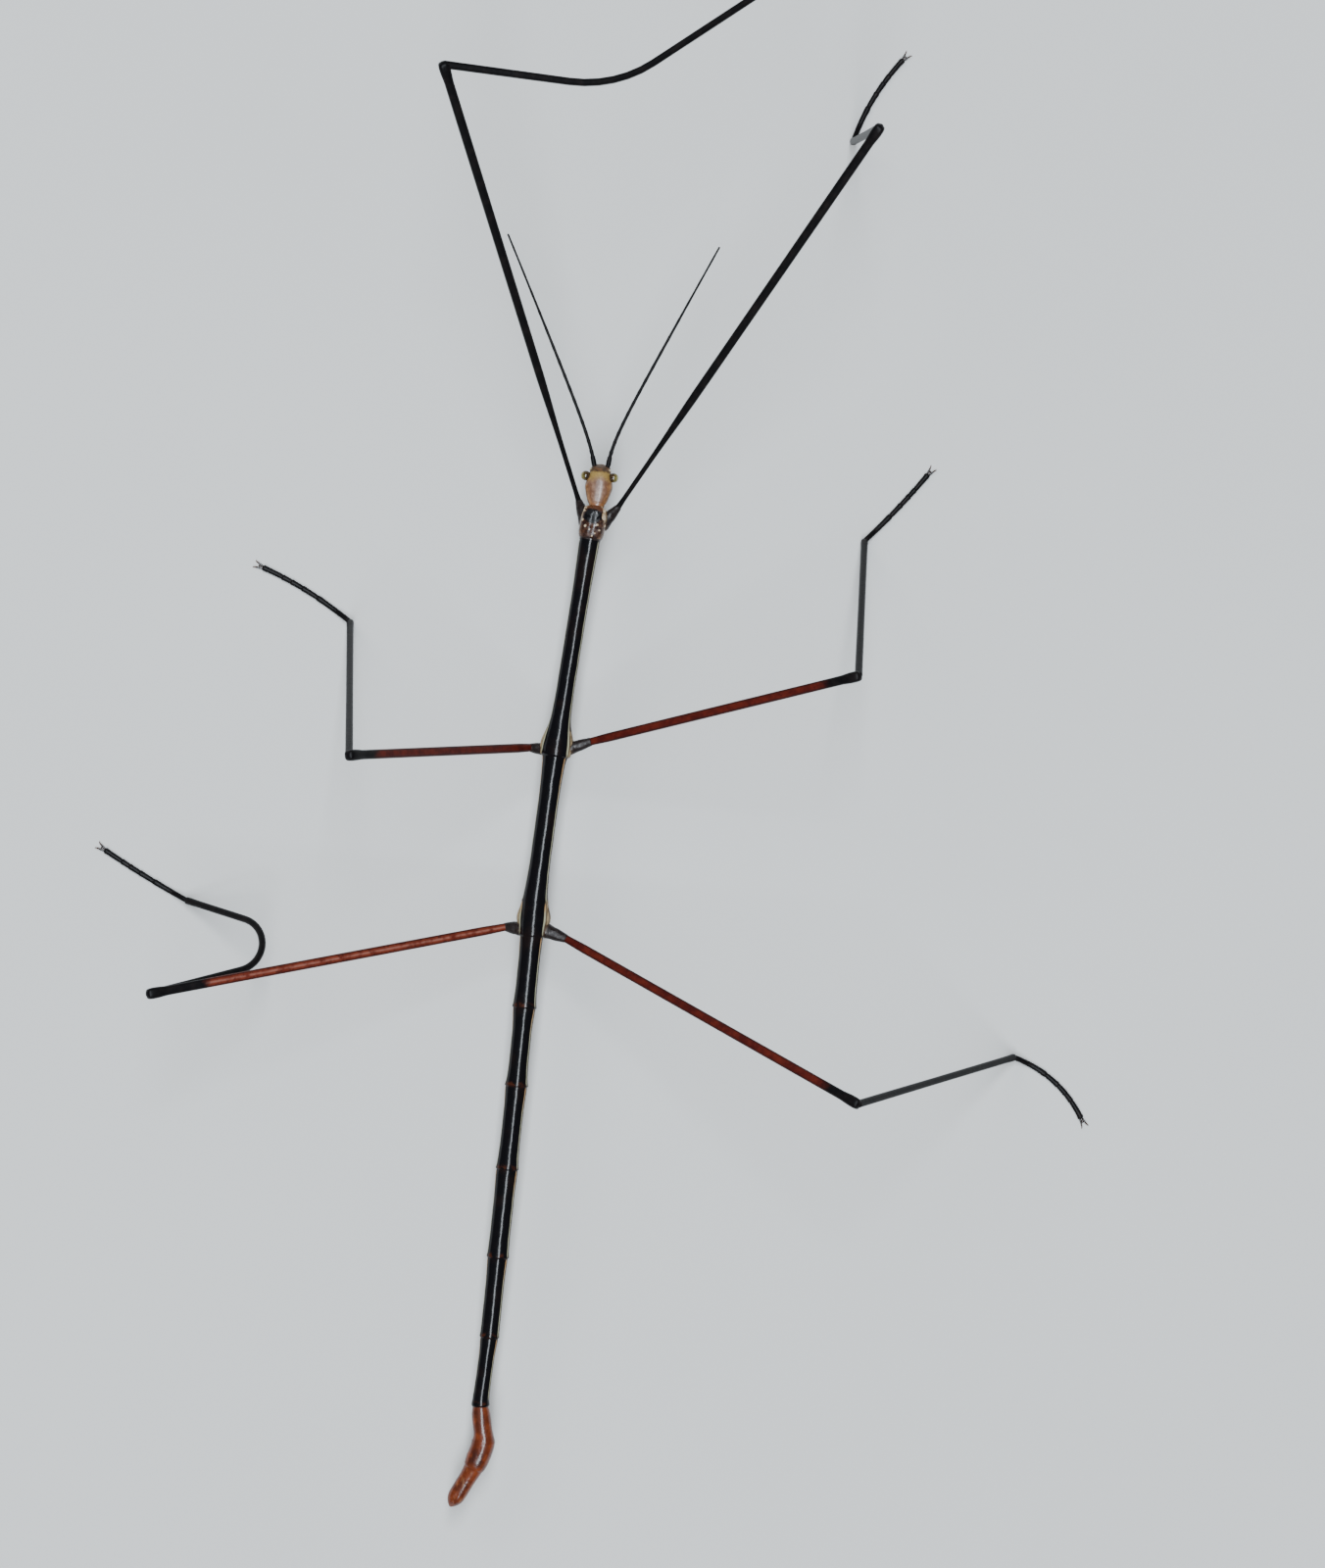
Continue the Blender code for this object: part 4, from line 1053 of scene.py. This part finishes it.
def tip_paint():
    """Glossy deep rust tail with irregular dark patches and paler streaks."""
    p = Paint("tip_shell", 0.26, specular=0.5)
    along, angle = p.mark("along"), p.angle()
    cloud = p.noise(1.1, 4.0, 0.6)
    p.colour = p.layer(RUST, (0.175, 0.036, 0.010), p.ramp(cloud, 0.34, 0.70))
    streak = p.noise(0.55, 4.0, 0.6, stretch=(1.0, 3.0, 1.0))
    p.over((0.034, 0.009, 0.005), p.ramp(streak, 0.46, 0.80), 0.45)
    for middle, reach, strength in TAIL_SHADOWS:
        p.over((0.026, 0.007, 0.005), p.hump(along, middle, reach * 0.3, reach * 1.5),
               p.hump(p.fit(cloud, 60.0, angle), 46.0, 2.0, 30.0), strength)
    pale = p.ramp(p.noise(0.45, 3.0, stretch=(1.0, 3.0, 1.0)), 0.50, 0.80)
    p.over((0.30, 0.15, 0.065), pale, p.ramp(along, 98.4, 99.2), 0.6)
    p.over((0.035, 0.010, 0.006), p.ramp(along, 92.5, 91.9), 0.8)
    p.over((0.09, 0.025, 0.010), p.ramp(angle, 100.0, 150.0), 0.5)
    return p.finish(p.grain(0.9, 0.060, p.grain(0.18, 0.006)))


def head_paint():
    """Dark mottled nose, granular olive-yellow forehead, pinkish-brown crown, orange-brown cheeks."""
    p = Paint("head_shell", 0.3, specular=0.6)
    along, angle = p.mark("along"), p.angle()
    sway = p.sway(0.8)
    drift, turned = p.fit(sway, 0.30, along), p.fit(sway, 44.0, angle)
    crown = p.mottle(0.5, 0.34, 0.68, (0.120, 0.056, 0.032), (0.225, 0.128, 0.082))
    cheek = p.mottle(0.35, 0.34, 0.66, (0.130, 0.052, 0.018), (0.280, 0.130, 0.046))
    p.colour = p.layer(crown, cheek, p.ramp(turned, 30.0, 54.0))
    p.over((0.100, 0.030, 0.009), p.hump(turned, 36.0, 1.0, 6.0),
           p.ramp(along, 0.44, 0.54), p.ramp(along, 0.97, 0.88),
           p.ramp(p.noise(0.5), 0.36, 0.56), 0.7)
    p.over((0.050, 0.030, 0.020), p.hump(angle, 84.0, 8.0, 20.0),
           p.ramp(along, 0.34, 0.44), p.ramp(along, 0.80, 0.55), 0.7)
    grains = p.noise(0.11, 3.0, 0.65)
    olive = p.mix(p.ramp(grains, 0.32, 0.62), (0.160, 0.085, 0.020), (0.330, 0.215, 0.052))
    p.over(olive, p.ramp(drift, 0.46, 0.26), p.ramp(angle, 92.0, 66.0))
    p.over((0.62, 0.56, 0.40), p.mark("knob"), 0.95)
    nose = p.times(p.ramp(p.fit(p.noise(0.3), 0.06, along), 0.27, 0.19), 0.92)
    dark = p.mottle(0.4, 0.42, 0.68, (0.020, 0.008, 0.005), (0.105, 0.038, 0.014), 3.0)
    p.over(dark, nose, p.math("SUBTRACT", 1.0, p.mark("knob")))
    p.over((0.09, 0.05, 0.025), p.ramp(angle, 108.0, 140.0))
    p.over((0.20, 0.075, 0.022), p.ramp(along, 0.95, 1.0), 0.7)
    normal = p.bump(p.times(grains, p.ramp(drift, 0.46, 0.30)), 0.030, p.grain(0.9, 0.022))
    return p.finish(normal, p.fit(p.ramp(drift, 0.28, 0.44), -0.20, 0.50))


def coxa_paint():
    """Dark satin leg roots with fine pale granules, browner where they leave the body."""
    p = Paint("leg_root_shell", 0.32, specular=0.22)
    grains = p.noise(0.09, 3.0, 0.6)
    p.colour = p.mix(p.noise(0.5, 3.0), (0.0050, 0.0038, 0.0042), (0.020, 0.014, 0.013))
    p.over((0.090, 0.066, 0.056), p.ramp(grains, 0.56, 0.70), 0.55)
    root = p.ramp(p.fit(p.noise(0.4), 0.3, p.mark("along")), 0.46, 0.26)
    p.over((0.080, 0.046, 0.026), root, 0.7)
    rough = p.fit(p.ramp(p.noise(0.45), 0.45, 0.65), -0.20, 0.42)
    return p.finish(p.grain(0.55, 0.050, p.bump(grains, 0.006)), rough)


def leg_paint():
    """Matt black legs and feelers; where they are marked red, maroon with dark keels and dots; the hind-left
    femur is painted as lit, in lighter red with a painted highlight streak.
    """
    p = Paint("leg_shell", 0.42, specular=0.12)
    across, rise = (p.math("ABSOLUTE", p.mark(name)) for name in ("across", "rise"))
    bright = p.mark("bright")
    corner = p.ramp(p.math("ABSOLUTE", p.math("SUBTRACT", across, rise)), 0.44, 0.14)
    streak = p.noise(0.9, 3.0, 0.6)
    # painted light: the lit hind-left femur takes the lighter pair of reds
    red = p.mix(p.ramp(streak, 0.3, 0.7), p.mix(bright, DEEP_RED, PAINTED_LIT_RED),
                p.mix(bright, (0.086, 0.011, 0.006), (0.145, 0.025, 0.012)))
    red = p.layer(red, (0.022, 0.005, 0.004), p.ramp(p.noise(0.28, 3.0, 0.6), 0.50, 0.70),
                  p.fit(bright, 0.4, 0.3))
    # painted highlight: a pale pink streak along the middle of the lit hind-left femur
    red = p.layer(red, (0.270, 0.115, 0.085), p.ramp(across, 0.36, 0.06), bright,
                  p.ramp(streak, 0.30, 0.60), 0.6)
    red = p.layer(red, (0.016, 0.004, 0.004), corner, 0.6)
    black = p.mottle(0.9, 0.4, 0.75, (0.0030, 0.0027, 0.0032), (0.008, 0.006, 0.006), 3.0, 0.5)
    p.colour = p.layer(black, red, p.ramp(p.fit(p.sway(0.7, 2.0), 0.5, p.mark("red")), 0.2, 0.8))
    tooth = p.math("ADD", p.noise(0.10), p.times(p.noise(0.35), 3.0))
    return p.finish(p.bump(tooth, 0.006))


def eye_paint():
    """Eye with a dull greenish-yellow outer crescent, a dark brown inner side and fine facets."""
    p = Paint("eye_shell", 0.16, specular=0.5, coat=0.3, coat_roughness=0.05)
    out = p.fit(p.sway(0.22), 0.34, p.mark("along"))
    pale = p.mix(p.ramp(out, 0.70, 0.92), (0.215, 0.180, 0.052), (0.34, 0.36, 0.140))
    pale = p.layer(pale, (0.060, 0.042, 0.014), p.ramp(p.noise(0.10, 3.0), 0.48, 0.62),
                   p.ramp(p.mark("along"), 1.0, 0.76), 0.8)
    inner = p.mottle(0.16, 0.45, 0.65, (0.018, 0.010, 0.006), (0.085, 0.050, 0.018), 3.0, 0.5)
    p.colour = p.layer(inner, pale, p.ramp(out, 0.44, 0.76))
    return p.finish(p.bump(p.cells(0.042), 0.0012))


def claw_paint():
    """Dark claws that turn reddish and clear towards their points."""
    p = Paint("claw_shell", 0.22, specular=0.5)
    p.colour = p.mix(p.ramp(p.mark("along"), 0.35, 1.0), (0.010, 0.008, 0.008), (0.10, 0.035, 0.015))
    p.over((0.03, 0.02, 0.016), p.noise(0.2), 0.3)
    return p.finish(p.grain(0.08, 0.01))


def floor_paint():
    """Plain pale floor with a faint tooth."""
    p = Paint("floor", 0.85, specular=0.2)
    p.colour = p.mix(p.noise(40.0), (0.63, 0.63, 0.617), (0.665, 0.665, 0.652))
    return p.finish(p.grain(0.5, 0.02))


# ---- studio
FLOOR_SIZE = 4.0


def add_floor():
    """Wide plain floor under the feet."""
    mesh = bpy.data.meshes.new("floor")
    half = FLOOR_SIZE / 2.0
    corners = [(-half, -half, 0.0), (half, -half, 0.0), (half, half, 0.0), (-half, half, 0.0)]
    mesh.from_pydata(corners, [], [(0, 1, 2, 3)])
    mesh.materials.append(floor_paint())
    floor = added("floor", mesh)


def add_light(name, place, target, size, power, colour):
    """Soft rectangular lamp aimed at a point, in metres and watts."""
    light = bpy.data.lights.new(name, "AREA")
    light.shape = "RECTANGLE"
    light.size, light.size_y = size
    light.energy = power
    light.color = colour
    lamp = added(name, light)
    lamp.location = place
    aim = Vector(target) - Vector(place)
    lamp.rotation_euler = aim.to_track_quat("-Z", "Y").to_euler()
    return lamp


def add_studio():
    """Long overhead strip for the line of light along the back, a broad key and a pale world."""
    add_light("strip", (-0.03, -0.12, 0.95), (-0.03, -0.12, 0.0), (0.17, 1.24), 19.0, (0.86, 0.93, 1.0))
    key = add_light("key", (-0.55, 0.45, 0.80), (0.0, 0.0, 0.0), (0.5, 0.5), 2.4, (1.0, 0.975, 0.94))
    key.visible_glossy = False
    world = bpy.data.worlds.new("studio")
    world.use_nodes = True
    world.node_tree.nodes["Background"].inputs["Color"].default_value = (0.90, 0.93, 0.97, 1.0)
    world.node_tree.nodes["Background"].inputs["Strength"].default_value = 0.11
    bpy.context.scene.world = world


CAMERA_DISTANCE = 482.5
CAMERA_TILT = (-1.92, -3.12)     # lean of the line of sight towards +X and +Y
CAMERA_ROLL = 7.1                # turn of the picture's top away from +Y
CAMERA_ASIDE = (11.0, -2.8)      # shift of the camera to its own right and up
CAMERA_FOCAL = 3.015625          # focal length as a share of the picture's long side
SENSOR = 36.0


def add_camera(offset):
    """Camera nearly straight above the animal."""
    lean_x, lean_y = (math.sin(math.radians(angle)) for angle in CAMERA_TILT)
    back = Vector((lean_x, lean_y, math.sqrt(1.0 - lean_x ** 2 - lean_y ** 2)))
    top = Vector((-math.sin(math.radians(CAMERA_ROLL)), math.cos(math.radians(CAMERA_ROLL)), 0.0))
    right = top.cross(back).normalized()
    top = back.cross(right)
    place = Vector((0.0, 0.0, TRUNK_HEIGHT)) + back * CAMERA_DISTANCE
    place += right * CAMERA_ASIDE[0] + top * CAMERA_ASIDE[1]
    data = bpy.data.cameras.new("camera")
    data.sensor_fit = "AUTO"
    data.sensor_width = SENSOR
    data.lens = CAMERA_FOCAL * SENSOR
    data.clip_start, data.clip_end = 0.01, 20.0
    camera = added("camera", data)
    camera.matrix_world = Matrix.Translation((place + Vector(offset)) * MM) @ Matrix(
        (right, top, back)).transposed().to_4x4()
    bpy.context.scene.camera = camera


# ---- whole animal
def working_offset():
    """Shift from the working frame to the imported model's frame, in millimetres."""
    low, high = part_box("eye_left")
    centre = np.array([(a + b) / 2.0 / MM for a, b in zip(low, high)])
    return centre - np.array(tuple(in_head(EYE_SHARE * HEAD_LENGTH, -EYE_SIDE, EYE_LIFT)))


def set_piece(piece, slot, *nodes):
    """Let a piece ride on the model in place of its solids."""
    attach(piece, "root")
    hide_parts(*nodes)


def main():
    offset = working_offset()
    paints = [black_paint(), pronotum_paint(), tip_paint(), head_paint(), coxa_paint(), leg_paint()]
    shells = [trunk_shell(), head_shell()] + mouth_shells()
    shells += [feeler_shell(*feeler) for feeler in FEELERS]
    claw_material = claw_paint()
    for leg in LEGS:
        parts, foot = leg_shells(leg)
        shells += parts
        claws = joined_by_union(f"claws_{leg.name}_fine", claw_shells(leg, foot), offset, [claw_material])
        set_piece(claws, "black_cuticle", f"claws_{leg.name}")
    skin = joined_by_union("skin", shells, offset, paints)
    flesh = [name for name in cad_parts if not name.startswith(("eye", "claws"))]
    set_piece(skin, "black_cuticle", *flesh)
    eye_material = eye_paint()
    for name, sign in (("eye_left", -1), ("eye_right", 1)):
        eye = joined_by_union(f"{name}_fine", [eye_shell(name, sign)], offset, [eye_material])
        set_piece(eye, "eye", name)
    add_floor()
    add_studio()
    add_camera(offset)


main()
